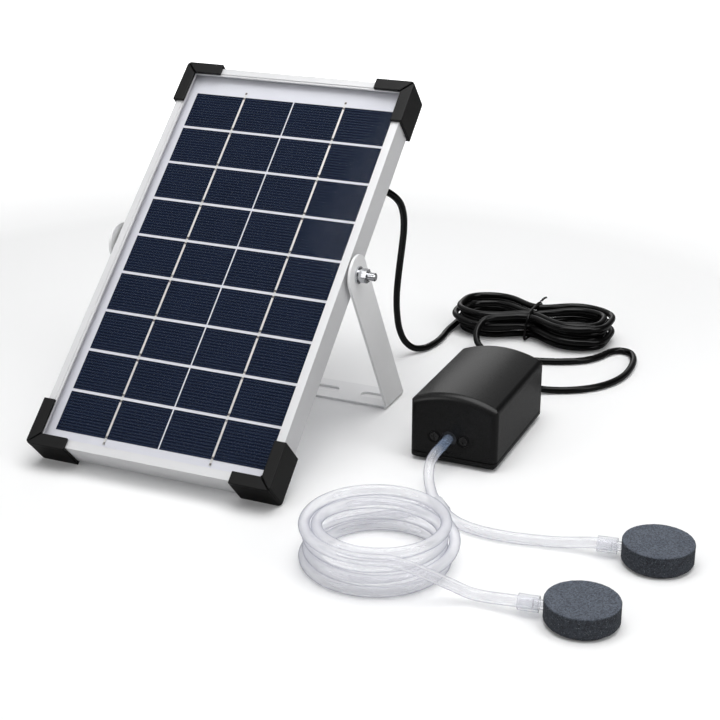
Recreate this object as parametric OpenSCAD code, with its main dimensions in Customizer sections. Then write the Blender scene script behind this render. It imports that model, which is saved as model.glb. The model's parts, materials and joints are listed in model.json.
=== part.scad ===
// Solar pond aerator: a tilting solar panel on a bent bracket, a diaphragm air pump,
// two air stones, and the cable and tubes that join them. All sizes are in millimetres.
// The origin is the centre of the bracket's base strip, on the ground. +X runs along the
// panel's width, +Y points behind the panel and +Z points up.

/* [Solar panel] */
// Width of the panel over its corner caps
panel_w = 160; // [145:1:180]
// Height of the panel over its corner caps, along its face
panel_h = 280; // [260:1:300]
// Angle of the panel's face from flat, in degrees
panel_tilt = 41.6; // [39:0.1:45]
// Depth of the aluminium frame from its back to its front lip
frame_t = 18; // [16:0.5:21]
// Wall of the frame rails
rail_wall = 1.6; // [1.2:0.1:2]
// Width of the rails' front lip
lip_w = 5.4; // [4.6:0.1:6.4]
// Width of the bevel step along the lip's inner edge
lip_step_w = 1.2; // [0.8:0.1:1.8]
// Thickness of the rails' lips and flanges
lip_t = 1.5; // [1.2:0.1:2]
// Width of the rails' back flange
flange_w = 9; // [7:0.5:11]
// Thickness of the glass
glass_t = 3.2; // [2.6:0.1:4]
// Thickness of the backsheet
backsheet_t = 0.5; // [0.3:0.1:0.9]

/* [Corner caps] */
// Wall of the moulded corner caps
cap_wall = 2; // [1.5:0.1:2.4]
// Reach of a cap along the panel's width
cap_reach_w = 26; // [22:0.5:32]
// Reach of a cap along the panel's height
cap_reach_h = 30; // [24:0.5:36]
// Width of a cap's lip over the front of the frame
cap_lip = 7.6; // [6.5:0.1:9]
// Radius of a cap's outer corner
cap_corner_r = 2.5; // [1.5:0.5:4]

/* [Solar cells] */
// Rows of cells up the panel
cell_rows = 9; // [8:1:10]
// Strings of cells across the panel
cell_cols = 2; // [2:1:3]
// White margin from the panel's left side to the cells
margin_left = 11.6; // [10:0.1:14]
// Margin from the panel's right side to the cells
margin_right = 9.1; // [9:0.1:12]
// Margin from the panel's bottom to the cells
margin_bottom = 14.1; // [11:0.1:18]
// Margin from the panel's top to the cells
margin_top = 19.5; // [14:0.1:24]
// Gap between rows of cells
row_gap = 1.9; // [1:0.1:3]
// Gap between strings of cells
string_gap = 1; // [0.6:0.1:2]
// Thickness of a cell
cell_t = 0.25; // [0.2:0.05:0.4]
// Width of the silver ribbon down each string
ribbon_w = 1.3; // [0.8:0.1:2]
// Thickness of the ribbon
ribbon_t = 0.15; // [0.1:0.05:0.25]
// Length of ribbon past the last cell
ribbon_tail = 4; // [2:0.5:5]

/* [Junction box] */
// Width of the junction box
box_w = 46; // [36:1:56]
// Height of the junction box
box_h = 34; // [28:1:44]
// Offset of the box to the right of the panel's middle
box_x = 30; // [20:1:34]
// Distance of the box's middle below the panel's top edge
box_down = 65; // [58:1:75]
// How far the box stands out behind the frame
box_proud = 5; // [4:0.5:8]
// Thickness of the box's lid
box_lid_t = 2; // [1.5:0.5:3]
// Wall of the box
box_wall = 1.8; // [1.4:0.1:2.4]
// Diameter of the cable gland
gland_d = 6.8; // [6:0.1:7.6]
// Length of the cable gland outside the box
gland_l = 8; // [6:0.5:10]

/* [Bracket] */
// Width of the bent strip
strip_w = 28; // [24:1:34]
// Thickness of the strip
strip_t = 1.6; // [1.4:0.1:2.2]
// Lean of the arms from upright, in degrees
arm_lean = 30; // [27:0.5:33]
// Inner radius of the two bends
bend_r = 1.5; // [1:0.1:2.5]
// Width of the screw slots
slot_w = 8; // [6:0.5:9]
// Length of the screw slots, end to end
slot_l = 20; // [16:0.5:22]
// Strip left between a bend and the outer slot
slot_edge = 1.5; // [1:0.1:3]
// Strip left between the two slots of one side
slot_land = 16; // [12:0.5:18]

/* [Pivot] */
// Height of the pivot up the panel from its bottom edge
pivot_v = 146.3; // [140:0.1:152]
// Gap between the corner caps and the bracket's arms
arm_clear = 0.5; // [0.4:0.1:1]
// Diameter of the pivot bolts
bolt_d = 5; // [4:0.5:6]
// Running clearance round the bolt in the arm, on the radius
bolt_clear = 0.08; // [0.05:0.01:0.1]
// Nut width across its flats
nut_af = 8; // [7:0.5:10]
// Nut thickness
nut_t = 4; // [3.2:0.1:5]
// Diameter of the flat washers
washer_d = 10.5; // [9:0.5:12]
// Thickness of the flat washers
washer_t = 1; // [0.8:0.1:1.2]
// Thickness of the spring washers
spring_washer_t = 1.3; // [1:0.1:1.6]
// Length of thread standing out past the nut
bolt_end = 5; // [4:0.5:7]
// Diameter of the spacers between frame and arm
spacer_d = 11; // [9:0.5:13]

/* [Pump housing] */
// Width of the pump
pump_w = 54; // [52:1:60]
// Length of the pump from front to back
pump_d = 90; // [86:1:100]
// Height of the pump to the top of its crown
pump_h = 45; // [43:0.5:50]
// Rise of the crowned top over its sides
crown_rise = 6; // [4:0.5:7]
// Radius of the rolled edges of the top
edge_r = 5; // [3.5:0.5:6]
// Radius of the upright corners
corner_r = 4; // [3:0.5:5]
// Wall of the cover
cover_wall = 2; // [1.6:0.1:2.2]
// Height of the seam between cover and base
seam_z = 6.2; // [5.6:0.1:7]
// Thickness of the base's floor
base_floor = 2; // [1.6:0.1:2.4]
// Bevel round the bottom of the base
base_bevel = 2.5; // [1.5:0.5:3]
// Height of the rubber feet under the base
foot_h = 1.2; // [0.8:0.1:1.6]
// Diameter of the rubber feet
foot_d = 8; // [6:0.5:9]
// Where the middle of the pump stands, to the right of the origin
pump_x = 149; // [140:1:160]
// Where the pump's front face stands, behind the origin
pump_y = -76; // [-86:1:-66]

/* [Air outlet] */
// Offset of the outlet from the pump's middle
outlet_x = -2.5; // [-3.5:0.1:-1.5]
// Height of the outlet
outlet_z = 17.2; // [16.8:0.1:18]
// Diameter of the outlet's opening in the cover
outlet_hole_d = 9.6; // [8.8:0.2:10]
// Diameter of the outlet nozzle
nozzle_d = 4; // [3.6:0.1:4.4]
// Bore of the outlet nozzle
nozzle_bore = 2.4; // [2:0.1:2.8]
// Length of the nozzle outside the cover
nozzle_l = 6.5; // [5:0.5:7]
// Distance from the outlet to each head screw
head_screw_dx = 9; // [8.6:0.1:10]
// Diameter of the head screws' heads
head_screw_d = 5.2; // [4.6:0.1:5.6]
// Half width of the moulded curve under the outlet
curve_w = 2.8; // [2:0.1:4]

/* [Diaphragm pump] */
// Width of the pump head
head_w = 30; // [28:0.5:32]
// Height of the pump head
head_h = 22; // [20:0.5:23]
// Thickness of the pump head
head_t = 7; // [6:0.5:8]
// Thickness of the valve plate
plate_t = 2.5; // [2:0.5:3]
// Thickness of the diaphragm's rim
rim_t = 2; // [1.6:0.2:2.4]
// Diameter of the diaphragm's free part
chamber_d = 18; // [17:0.5:19]
// Distance the crank pin stands from the shaft's axis
throw = 1; // [0.6:0.1:1.2]
// Length of the connecting rod from its foot to the crank pin
rod_l = 22; // [21:0.5:24]
// Diameter of the eccentric
crank_d = 7; // [6:0.5:8]
// Thickness of the eccentric
crank_t = 4; // [3:0.5:4.5]
// Running clearance of rod and bushes, on the radius
run_clear = 0.05; // [0.03:0.01:0.08]

/* [Motor] */
// Diameter of the motor
motor_d = 24; // [23:0.5:24.4]
// Length of the motor's can
motor_l = 18; // [17:0.5:18.5]
// Wall of the motor's can
can_wall = 1; // [0.8:0.1:1.2]
// Diameter of the shaft
shaft_d = 2; // [2:0.1:2.4]
// Diameter of the armature
armature_d = 17; // [16:0.5:17.5]
// Length of the armature's core
armature_l = 9; // [8:0.5:9.5]
// Poles of the armature
poles = 3; // [3:1:5]

/* [Air stones] */
// Diameter of an air stone
stone_d = 38; // [34:1:44]
// Height of an air stone
stone_h = 13; // [12:0.5:15]
// Bevel round a stone's bottom
stone_bevel = 2.4; // [1.6:0.2:3]
// Bevel round a stone's top
stone_edge = 0.8; // [0.4:0.1:1.2]
// Angle of the stones' nipples from the X axis, in degrees
nipple_turn = 7; // [5:0.5:9]
// Near stone, to the right of the origin
near_x = 267.5; // [266:0.5:270]
// Near stone, behind the origin
near_y = -214; // [-216:0.5:-212]
// Far stone, to the right of the origin
far_x = 287.3; // [286:0.5:290]
// Far stone, behind the origin
far_y = -141.1; // [-143:0.5:-139]

/* [Tubes] */
// Outer diameter of the air tube
tube_d = 6; // [5.6:0.1:6]
// Outer diameter of the clear sleeves
sleeve_d = 8.4; // [8:0.1:9]
// Length of the clear sleeves at the stones
sleeve_l = 10.5; // [9:0.5:12]
// Length of the clear sleeve at the pump
outlet_sleeve_l = 7; // [7:0.5:9]
// Radius of the tube coil's outermost turns, at the tube's middle
coil_r = 40; // [39:0.5:41]
// Middle of the coil, to the right of the origin
coil_x = 153; // [152:0.5:154]
// Middle of the coil, behind the origin
coil_y = -197; // [-198:0.5:-196]
// Layers of the coil
coil_layers = 4; // [2:2:4]
// Turns in each layer of the coil
coil_layer_turns = 1.354; // [1.3:0.001:1.4]
// Gap left between neighbouring turns
coil_gap = 0.5; // [0.45:0.05:0.7]

/* [Cable] */
// Diameter of the cable
cable_d = 4.5; // [4:0.1:4.5]
// Length of the hank, outside
hank_l = 120; // [116:1:124]
// Width of the hank's lobes, outside
hank_w = 66; // [60:1:72]
// Width of the hank's waist, outside
waist_w = 30; // [29:0.5:34]
// Middle of the hank, to the right of the origin
hank_x = 126; // [125:0.5:127]
// Middle of the hank, behind the origin
hank_y = 152; // [151:0.5:153]
// Layers of the hank
hank_layers = 4; // [2:2:4]
// Gap left between neighbouring loops
hank_gap = 0.5; // [0.45:0.05:0.7]
// Width of the tie round the waist
tie_w = 2.5; // [2:0.5:4]
// Thickness of the tie
tie_t = 0.5; // [0.4:0.1:0.7]

/* [Hidden] */
$fn = 48;

// One overrun for every cut, and one small gap for faces on different bodies
over = 1;
face_gap = 0.05;

// Colours
aluminium = [0.86, 0.87, 0.88];
black_plastic = [0.06, 0.06, 0.065];
zinc = [0.75, 0.76, 0.78];
clear_plastic = [0.9, 0.92, 0.95, 0.6];
stone_grey = [0.25, 0.28, 0.33];

// Panel, in its own frame: X across, Y up its face, Z out of its face, back at zero
panel_t = frame_t + 2 * cap_wall;
frame_w = panel_w - 2 * cap_wall;
frame_h = panel_h - 2 * cap_wall;
front_z = cap_wall + frame_t;
glass_z = front_z - lip_t - glass_t;
ribbon_z = glass_z - ribbon_t;
cell_z = ribbon_z - cell_t;
backsheet_z = cell_z - backsheet_t;
sheet_gap = 0.3;
sheet_w = frame_w - 2 * (rail_wall + sheet_gap);
sheet_h = frame_h - 2 * (rail_wall + sheet_gap);
step_drop = 0.5;
ledge_w = lip_w;
cap_groove = 0.35;

cells_w = panel_w - margin_left - margin_right;
cells_h = panel_h - margin_bottom - margin_top;
cell_w = (cells_w - (cell_cols - 1) * string_gap) / cell_cols;
cell_h = (cells_h - (cell_rows - 1) * row_gap) / cell_rows;

// Pivot and bracket
pivot_n = panel_t / 2;
pivot_z = pivot_v * sin(panel_tilt) + pivot_n * cos(panel_tilt);
pivot_y = -pivot_z * tan(arm_lean);
panel_y = pivot_y - pivot_v * cos(panel_tilt) + pivot_n * sin(panel_tilt);
frame_side = frame_w / 2;
arm_x = panel_w / 2 + arm_clear;
arm_out = arm_x + strip_t;
arm_r = strip_w * cos(arm_lean) / 2;
slot_outer = arm_x - bend_r - slot_edge - slot_l / 2;
slot_inner = slot_outer - slot_l - slot_land;
bolt_head_t = 1.5;
bolt_head_d = 1.3 * bolt_d;
pin_head_d = 1.8 * bolt_d;
pin_head_t = bolt_d / 4;
bolt_r = bolt_d / 2;
stack_x = arm_out + face_gap;
nut_x = stack_x + washer_t + spring_washer_t;

// Junction box
box_v = panel_h - box_down;
box_back = -box_proud;
box_floor = box_wall;
gland_z = box_back + box_lid_t + gland_d / 2 + face_gap;
gland_tip = [
    box_x + box_w / 2 + gland_l + face_gap,
    panel_y + box_v * cos(panel_tilt) - gland_z * sin(panel_tilt),
    box_v * sin(panel_tilt) + gland_z * cos(panel_tilt)
];
gland_collar = 1.6;
gland_neck = 0.8;
lid_screw_d = 4;
lid_screw_inset = 4.5;
lid_screw_t = 1.2;
lid_screw_sink = 0.8;

// Pump housing
side_h = pump_h - crown_rise;
crown_r = (pump_w * pump_w / 4 + crown_rise * crown_rise) / (2 * crown_rise);
// The rolled edges stand this far above the crown, so that the outlines cross
roll_proud = 0.05;
base_top = foot_h + base_floor;
base_wall = cover_wall;
boss_d = 6.4;
boss_inset = cover_wall + boss_d / 2 + 0.2 * cover_wall;
base_screw_d = 2.2;
base_screw_head_d = 4.8;
base_screw_head_t = 1.2;
base_screw_l = 14;
seam_groove = 0.7;
foot_inset = 14;
inlet_hole_d = 1.6;
inlet_ring_r = 4;
inlet_holes = 6;
filter_d = 14;
filter_t = 2;
grommet_d = 9;
grommet_z = 14;
grommet_l = 12;
grommet_flange_t = 1.5;
grommet_neck_d = grommet_d - 2 * grommet_flange_t;
curve_drop = 8;
curve_cut = 0.7;
curve_line = 0.5;

// Diaphragm pump, from the front face back
head_y = cover_wall;
plate_y = head_y + head_t;
rim_y = plate_y + plate_t;
ring_y = rim_y + rim_t;
ring_t = 7.5;
clamp_gap = 0.3;
clamp_t = 1;
clamp_d = 7;
web_t = 1;
foot_disc_t = 1.5;
foot_disc_d = 8;
stem_d = 2.4;
stem_l = 5;
clamp_y = rim_y + clamp_gap + 2 * throw;
web_y = clamp_y + clamp_t;
rod_foot_y = web_y + web_t;
pin_y = rod_foot_y + rod_l;
motor_y = pin_y - throw;
rod_w = 3;
rod_ring_d = crank_d + 2 * run_clear + 4.8;
shaft_r = shaft_d / 2;
head_screw_shank = 2.4;
head_screw_l = 5;
head_screw_t = 1.1;
head_screw_sink = 1.2;
recess_ring = 0.3;
screw_ring_d = head_screw_d + 2.4;
port_d = 2.4;
valve_drop = 7;
flap_t = 0.6;
flap_d = 4;
outlet_chamber_d = 7;
outlet_chamber_t = 4;
tab_d = 3;

// Motor, along X beside the crank
crank_x = outlet_x - crank_t / 2;
can_x = outlet_x + crank_t / 2 + 3;
can_end = can_x + motor_l;
end_cap_t = 1.5;
plug_t = 1;
bush_d = 6;
bush_l = 2.5;
bush_bore = shaft_d + 2 * run_clear;
magnet_gap = 0.05;
magnet_t = 1.7;
magnet_split = 3;
core_x = can_x + 4;
slot_hole_d = 5.2;
slot_hole_r = 5.4;
slot_mouth = 1.4;
winding_d = 5;
winding_l = armature_l + 2.4;
commutator_d = 5;
commutator_l = 2.4;
commutator_x = can_end - plug_t - commutator_l - 6 * face_gap;
commutator_slit = 0.4;
brush_w = 2;
brush_t = 1.2;
chassis_floor = 1.4;
saddle_inset = 1.5;
saddle_wall = 10;
board_w = 36;
board_room = 9.2;
board_gap = 3.5;
board_y = motor_y + motor_d / 2 + board_room;
board_l = pump_d - cover_wall - board_gap - board_y;
board_t = 1.6;
board_lift = 3.4;
board_post_d = 4;
inlet_y = board_y + board_l / 2 + 1;
capacitor_d = 6.3;
capacitor_h = 8;
connector_w = 8;
connector_h = 6;
chip_w = 6;
chip_h = 2;

// Stones and sleeves
nipple_d = 5.2;
nipple_bore = 2.4;
nipple_in = 6;
nipple_out = 5;
sleeve_gap = 2;
sleeve_bore = tube_d + 2 * face_gap;
crown_sides = 180;
tube_sides = 10;
cable_sides = 8;
form_sides = 6;
form_rings = 24;

// Tee that feeds the coil
tee_x = 163.6;
tee_y = -133;
tee_turn = -49;
tee_half = 6;
tee_branch = 8;
tee_d = 7;
tee_bore = 3;

// Coil of tube
coil_start = 135;
coil_turns = coil_layers * coil_layer_turns;
coil_step = tube_d + coil_gap;
tube_r = tube_d / 2;

// Hank of cable
cable_r = cable_d / 2;
hank_lead = 0.25;
hank_layer_turns = 1.5;
hank_turns = hank_layers * hank_layer_turns - hank_lead + 1 / form_rings;
hank_end_step = cable_d + 2 * hank_gap;
hank_side_step = 1.44 * cable_d;
waist_share = 0.34;
lobe_share = 0.62;
tail_l = 6;
tail_d = 1.2;
tie_gap = 0.1;

// Hand-chosen route of the cable from the panel's gland down to the hank
DROP = [
    [70.6, 0.4, 140.6], [75, 6, 136.6], [77.8, 13.5, 129.6], [77.6, 20.5, 120],
    [75.4, 27, 108], [71.8, 33.5, 95], [67.6, 40.5, 81], [63.2, 48, 66],
    [59.3, 55.5, 50.5], [56.9, 62.5, 36], [56.2, 69, 22], [58, 75.5, 11],
    [62, 82, 4.6], [66.6, 90, 2.6], [69.6, 101, 2.4], [70.4, 114, 2.5], [69.4, 129, 2.7]
];

// Hand-chosen route of the cable from the hank, round in front of it and to the pump's back
PUMP_RUN = [
    [99.8, 123.2, 17.3], [97.6, 116.8, 14.6], [98, 109.8, 10.6], [101.4, 103.6, 6.7],
    [107.5, 99.3, 4], [116, 97.2, 2.6], [128, 96.6, 2.3], [140, 97.8, 2.3], [152, 100.6, 2.3],
    [163, 104.8, 2.3], [173, 110.6, 2.3], [180, 117.8, 2.3], [184.6, 126.4, 2.3],
    [187.8, 135, 2.3], [193.4, 140.4, 2.3], [200.4, 139.4, 2.3], [205.2, 131.6, 2.3],
    [207.6, 121, 2.3], [208.4, 109, 2.3], [207.6, 96, 2.3], [203.6, 82.5, 2.3],
    [196, 70, 2.3], [185.5, 60.6, 2.3], [174, 54.6, 2.3], [164, 49.8, 3.4],
    [156, 43.8, 7.2], [151, 37, 11.6]
];

// Hand-chosen routes of the air tubes
SUPPLY = [
    [145.7, -95.4, 16.2], [145.2, -102, 12.9], [147, -109, 8.2], [150.8, -116.2, 4.8]
];
FAR_RUN = [
    [179.2, -146.8, 3.1], [189, -150, 3], [200, -151.2, 3], [212, -150.6, 3],
    [224, -148.6, 3.1], [237, -146.9, 3.9]
];
NEAR_RUN = [
    [182.5, -230, 20.2], [192.5, -225.9, 15.4], [202.5, -221.4, 9.9], [213, -218.3, 5.4]
];
LINK = [[144.5, -150.3, 3.1]];

// Vectors, rings and tubes

function unit(v) = v / norm(v);

function turned(a, v) = [v[0] * cos(a) - v[1] * sin(a), v[0] * sin(a) + v[1] * cos(a), v[2]];

function heading(p, i) = unit(p[min(i + 1, len(p) - 1)] - p[max(i - 1, 0)]);

// A ring of points square to the path at its point i
function ring(p, i, r, sides, side_axis) =
    let (h = heading(p, i), n = unit(cross(h, side_axis)), b = cross(n, h))
    [for (k = [0 : sides - 1]) p[i] + r * (cos(360 * k / sides) * n + sin(360 * k / sides) * b)];

// A closed tube of triangles along a path
module tube(path, d, sides, side_axis) {
    last = len(path) - 1;
    points = [for (i = [0 : last]) each ring(path, i, d / 2, sides, side_axis)];
    walls = [
        for (i = [0 : last - 1])
        for (k = [0 : sides - 1])
        let (a = i * sides + k, b = i * sides + (k + 1) % sides)
        each [[a, b, a + sides], [b, b + sides, a + sides]]
    ];
    start = [for (k = [1 : sides - 2]) [0, k + 1, k]];
    end = [for (k = [1 : sides - 2]) [last * sides, last * sides + k, last * sides + k + 1]];
    polyhedron(points = points, faces = concat(walls, start, end));
}

// Piled loops: how far in a loop lies, in turns, and how many layers up it is
function inward(t, span) = let (k = floor(t / span), f = t - k * span) k % 2 == 0 ? f : span - f;

function ease(u) = u <= 0 ? 0 : u >= 1 ? 1 : u * u * (3 - 2 * u);

function climbed(t, span, layers, k = 1) =
    k >= layers ? 0 : ease(2 * (t - k * span) + 0.5) + climbed(t, span, layers, k + 1);

// Adds a straight piece of one diameter at both ends of a path, with its own headings
function with_ends(p, d, first, last) = concat([p[0] - d * first], p, [p[len(p) - 1] + d * last]);

// The least gap of a wound tube to itself, measured on points more than half a turn apart
function least_gap(p, d, per_turn) = min([
    for (i = [0 : len(p) - 1])
    for (j = [i + floor(per_turn / 2) : 1 : len(p) - 1])
    norm(p[i] - p[j])
]) - d;

// Panel frame to the ground frame, and a cylinder along X or Y
module on_panel() {
    translate([0, panel_y, 0]) rotate([panel_tilt, 0, 0]) children();
}

module on_pivot(side) {
    translate([0, pivot_y, pivot_z]) rotate([0, 0, side < 0 ? 180 : 0]) children();
}

module on_pivots() {
    for (side = [-1, 1]) on_pivot(side) children();
}

module on_pump() {
    translate([pump_x, pump_y, 0]) children();
}

module x_cylinder(d, x, l, y, z) {
    translate([x, y, z]) rotate([0, 90, 0]) cylinder(d = d, h = l);
}

module y_cylinder(d, x, y, l, z) {
    translate([x, y, z]) rotate([-90, 0, 0]) cylinder(d = d, h = l);
}

module box(low, high) {
    translate(low) cube(high - low);
}

// Solar panel

// The rail's section, from its outer side inwards and from its back to its front
module rail_section() {
    shelf_z = backsheet_z - cap_wall - lip_t;
    square([rail_wall, frame_t]);
    translate([0, frame_t - lip_t]) square([lip_w - lip_step_w, lip_t]);
    translate([0, frame_t - lip_t]) square([lip_w, lip_t - step_drop]);
    translate([0, shelf_z]) square([ledge_w, lip_t]);
    square([flange_w, lip_t]);
}

// One rail along the bottom of a frame of this width and height, mitred at both ends
module rail(w, h) {
    intersection() {
        translate([-w / 2, -h / 2, cap_wall]) rotate([90, 0, 90]) linear_extrude(w) rail_section();
        translate([0, 0, cap_wall]) linear_extrude(frame_t) polygon([
            [-w / 2, -h / 2], [w / 2, -h / 2],
            [w / 2 - flange_w, -h / 2 + flange_w], [-w / 2 + flange_w, -h / 2 + flange_w]
        ]);
    }
}

// The side rails have a hole and a pocket in their ledge for the pivot's bolt
module frame_rail(turn) {
    upright = turn % 180 != 0;
    w = upright ? frame_h : frame_w;
    h = upright ? frame_w : frame_h;
    pocket = frame_side - rail_wall - ledge_w;
    color(aluminium) difference() {
        on_panel() translate([0, panel_h / 2, 0]) rotate([0, 0, turn]) rail(w, h);
        if (upright) on_pivots() {
            x_cylinder(bolt_d, pocket, frame_w, 0, 0);
            x_cylinder(bolt_head_d + 2 * face_gap, pocket, ledge_w, 0, 0);
        }
    }
}

// A corner cap's plan: an L with a rounded outer corner, its corner at zero
module cap_plan(reach_w, reach_h, arm, r) {
    difference() {
        square([reach_w, reach_h]);
        translate([arm, arm]) square([reach_w, reach_h]);
        difference() {
            translate([-over, -over]) square([r + over, r + over]);
            translate([r, r]) circle(r = r);
        }
    }
}

module cap_body() {
    diagonal = cap_lip * sqrt(2);
    difference() {
        linear_extrude(panel_t) cap_plan(cap_reach_w, cap_reach_h, cap_lip, cap_corner_r);
        translate([cap_wall, cap_wall, cap_wall]) cube([cap_reach_w, cap_reach_h, frame_t]);
        translate([0, 0, panel_t]) rotate([0, 0, 45]) translate([0, -cap_groove / 2, -cap_groove])
            cube([diagonal, cap_groove, cap_groove + over]);
    }
}

module corner_cap(side, top) {
    color(black_plastic) on_panel() translate([0, panel_h / 2, 0])
        mirror([side > 0 ? 1 : 0, 0, 0]) mirror([0, top ? 1 : 0, 0])
        translate([-panel_w / 2, -panel_h / 2, 0]) cap_body();
}

module centred_sheet(w, h, z, t) {
    translate([-w / 2, (panel_h - h) / 2, z]) cube([w, h, t]);
}

module panel_glass() {
    color([0.8, 0.85, 0.9, 0.3]) on_panel() centred_sheet(sheet_w, sheet_h, glass_z, glass_t);
}

module solar_cells() {
    color([0.05, 0.09, 0.22]) on_panel()
        for (col = [0 : cell_cols - 1])
        for (row = [0 : cell_rows - 1])
        translate([
            -panel_w / 2 + margin_left + col * (cell_w + string_gap),
            margin_bottom + row * (cell_h + row_gap),
            cell_z
        ]) cube([cell_w, cell_h, cell_t]);
}

module cell_ribbons() {
    color(zinc) on_panel()
        for (col = [0 : cell_cols - 1])
        translate([
            -panel_w / 2 + margin_left + col * (cell_w + string_gap) + (cell_w - ribbon_w) / 2,
            margin_bottom - ribbon_tail,
            ribbon_z
        ]) cube([ribbon_w, cells_h + 2 * ribbon_tail, ribbon_t]);
}

module backsheet() {
    color("white") on_panel() centred_sheet(sheet_w, sheet_h, backsheet_z, backsheet_t);
}

// Junction box on the back of the panel

module at_box() {
    translate([box_x, box_v, 0]) children();
}

module at_lid_screws() {
    for (sx = [-1, 1])
        for (sy = [-1, 1])
        translate([sx * (box_w / 2 - lid_screw_inset), sy * (box_h / 2 - lid_screw_inset), 0]) children();
}

module rounded_plate(w, h, r, t) {
    linear_extrude(t) {
        square([w - 2 * r, h], center = true);
        square([w, h - 2 * r], center = true);
        for (sx = [-1, 1])
            for (sy = [-1, 1])
            translate([sx * (w / 2 - r), sy * (h / 2 - r)]) circle(r = r);
    }
}

module junction_box() {
    depth = backsheet_z - box_back - box_lid_t;
    inner = depth - box_floor + over;
    color(black_plastic) on_panel() at_box() difference() {
        translate([0, 0, box_back + box_lid_t]) rounded_plate(box_w, box_h, box_wall, depth);
        translate([0, 0, box_back + box_lid_t - over]) difference() {
            rounded_plate(box_w - 2 * box_wall, box_h - 2 * box_wall, box_wall / 2, inner);
            at_lid_screws() translate([0, 0, -over]) cylinder(d = 2 * lid_screw_inset, h = inner + 2 * over);
        }
        at_lid_screws() translate([0, 0, box_back]) cylinder(d = lid_screw_d / 2, h = depth / 2);
        x_cylinder(gland_d - 2 * gland_neck, box_w / 2 - 2 * box_wall, 3 * box_wall, 0, gland_z);
    }
}

module junction_lid() {
    color(black_plastic) on_panel() at_box() difference() {
        translate([0, 0, box_back]) rounded_plate(box_w, box_h, box_wall, box_lid_t);
        at_lid_screws() translate([0, 0, box_back - over]) {
            cylinder(d = lid_screw_d, h = over + lid_screw_sink);
            cylinder(d = lid_screw_d / 2, h = box_lid_t + 2 * over);
        }
    }
}

module lid_screws() {
    head_z = box_back + lid_screw_sink - lid_screw_t;
    color(zinc) on_panel() at_box() at_lid_screws() {
        translate([0, 0, head_z]) difference() {
            cylinder(d = lid_screw_d, h = lid_screw_t);
            for (turn = [0, 90]) rotate([0, 0, turn])
                translate([-lid_screw_d / 3, -lid_screw_d / 12, -over])
                cube([2 * lid_screw_d / 3, lid_screw_d / 6, over + lid_screw_t / 2]);
        }
        translate([0, 0, box_back + lid_screw_sink]) cylinder(d = lid_screw_d / 2, h = 3 * box_lid_t);
    }
}

module cable_gland() {
    side = box_w / 2;
    color(black_plastic) on_panel() at_box() translate([side, 0, gland_z]) rotate([0, 90, 0]) {
        cylinder(d = gland_d, h = gland_collar, $fn = 6);
        translate([0, 0, gland_collar])
            cylinder(d1 = gland_d - gland_neck, d2 = cable_d + gland_neck, h = gland_l - gland_collar);
        translate([0, 0, -box_wall]) cylinder(d = gland_d - 2 * gland_neck, h = box_wall);
    }
}

// Bracket and pivot

module arm_outline() {
    down = [sin(arm_lean), -cos(arm_lean)];
    side = [cos(arm_lean), sin(arm_lean)];
    pivot = [pivot_y, pivot_z];
    bend = bend_r + strip_t;
    foot = [-bend * tan(arm_lean), bend];
    difference() {
        union() {
            translate(pivot) circle(r = arm_r);
            polygon([
                pivot - arm_r * side, pivot + arm_r * side,
                foot + [strip_w / 2, 0], foot - [strip_w / 2, 0]
            ]);
        }
        translate(pivot) circle(r = bolt_r + bolt_clear);
    }
}

// The strip's bend, a quarter ring that leans with the arm as it rises
module bend() {
    bend = bend_r + strip_t;
    intersection() {
        difference() {
            translate([0, strip_w, bend]) rotate([90, 0, 0]) cylinder(r = bend, h = 2 * strip_w);
            translate([0, 2 * strip_w, bend]) rotate([90, 0, 0]) cylinder(r = bend_r, h = 4 * strip_w);
            box([-bend - over, -2 * strip_w, -over], [0, 2 * strip_w, 2 * bend + over]);
        }
        rotate([90, 0, 90]) linear_extrude(bend) polygon([
            [-strip_w / 2, 0], [strip_w / 2, 0],
            [strip_w / 2 - bend * tan(arm_lean), bend], [-strip_w / 2 - bend * tan(arm_lean), bend]
        ]);
    }
}

module slot(x) {
    half = (slot_l - slot_w) / 2;
    translate([x, 0, -over]) linear_extrude(strip_t + 2 * over) {
        square([2 * half, slot_w], center = true);
        for (end = [-half, half]) translate([end, 0]) circle(d = slot_w);
    }
}

module bracket() {
    flat = arm_x - bend_r;
    color(aluminium) difference() {
        union() {
            box([-flat, -strip_w / 2, 0], [flat, strip_w / 2, strip_t]);
            for (side = [0, 1]) mirror([side, 0, 0]) {
                translate([flat, 0, 0]) bend();
                translate([arm_x, 0, 0]) rotate([90, 0, 90]) linear_extrude(strip_t) arm_outline();
            }
        }
        for (x = [-slot_outer, -slot_inner, slot_inner, slot_outer]) slot(x);
    }
}

module hexagon(af, h) {
    rotate([0, 0, 30]) cylinder(d = af / cos(30), h = h, $fn = 6);
}

// The right pivot's stack along +X: flat head inside the rail, spacer, arm, washers, nut, bare thread.
// The left one is a pin with the same flat head inside and a low bevelled head outside

module pivot_bolts() {
    head_x = frame_side - rail_wall - bolt_head_t;
    end_x = nut_x + nut_t + bolt_end;
    tip = bolt_d / 10;
    color(zinc) {
        on_pivots() rotate([0, 90, 0]) translate([0, 0, head_x]) cylinder(d = bolt_head_d, h = bolt_head_t);
        on_pivot(1) rotate([0, 90, 0]) {
            translate([0, 0, head_x]) cylinder(d = bolt_d, h = end_x - head_x - tip);
            translate([0, 0, end_x - tip]) cylinder(d1 = bolt_d, d2 = bolt_d - 2 * tip, h = tip);
        }
        on_pivot(-1) rotate([0, 90, 0]) {
            translate([0, 0, head_x]) cylinder(d = bolt_d, h = stack_x - head_x);
            translate([0, 0, stack_x]) cylinder(d1 = pin_head_d, d2 = bolt_d, h = pin_head_t);
        }
    }
}

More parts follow.
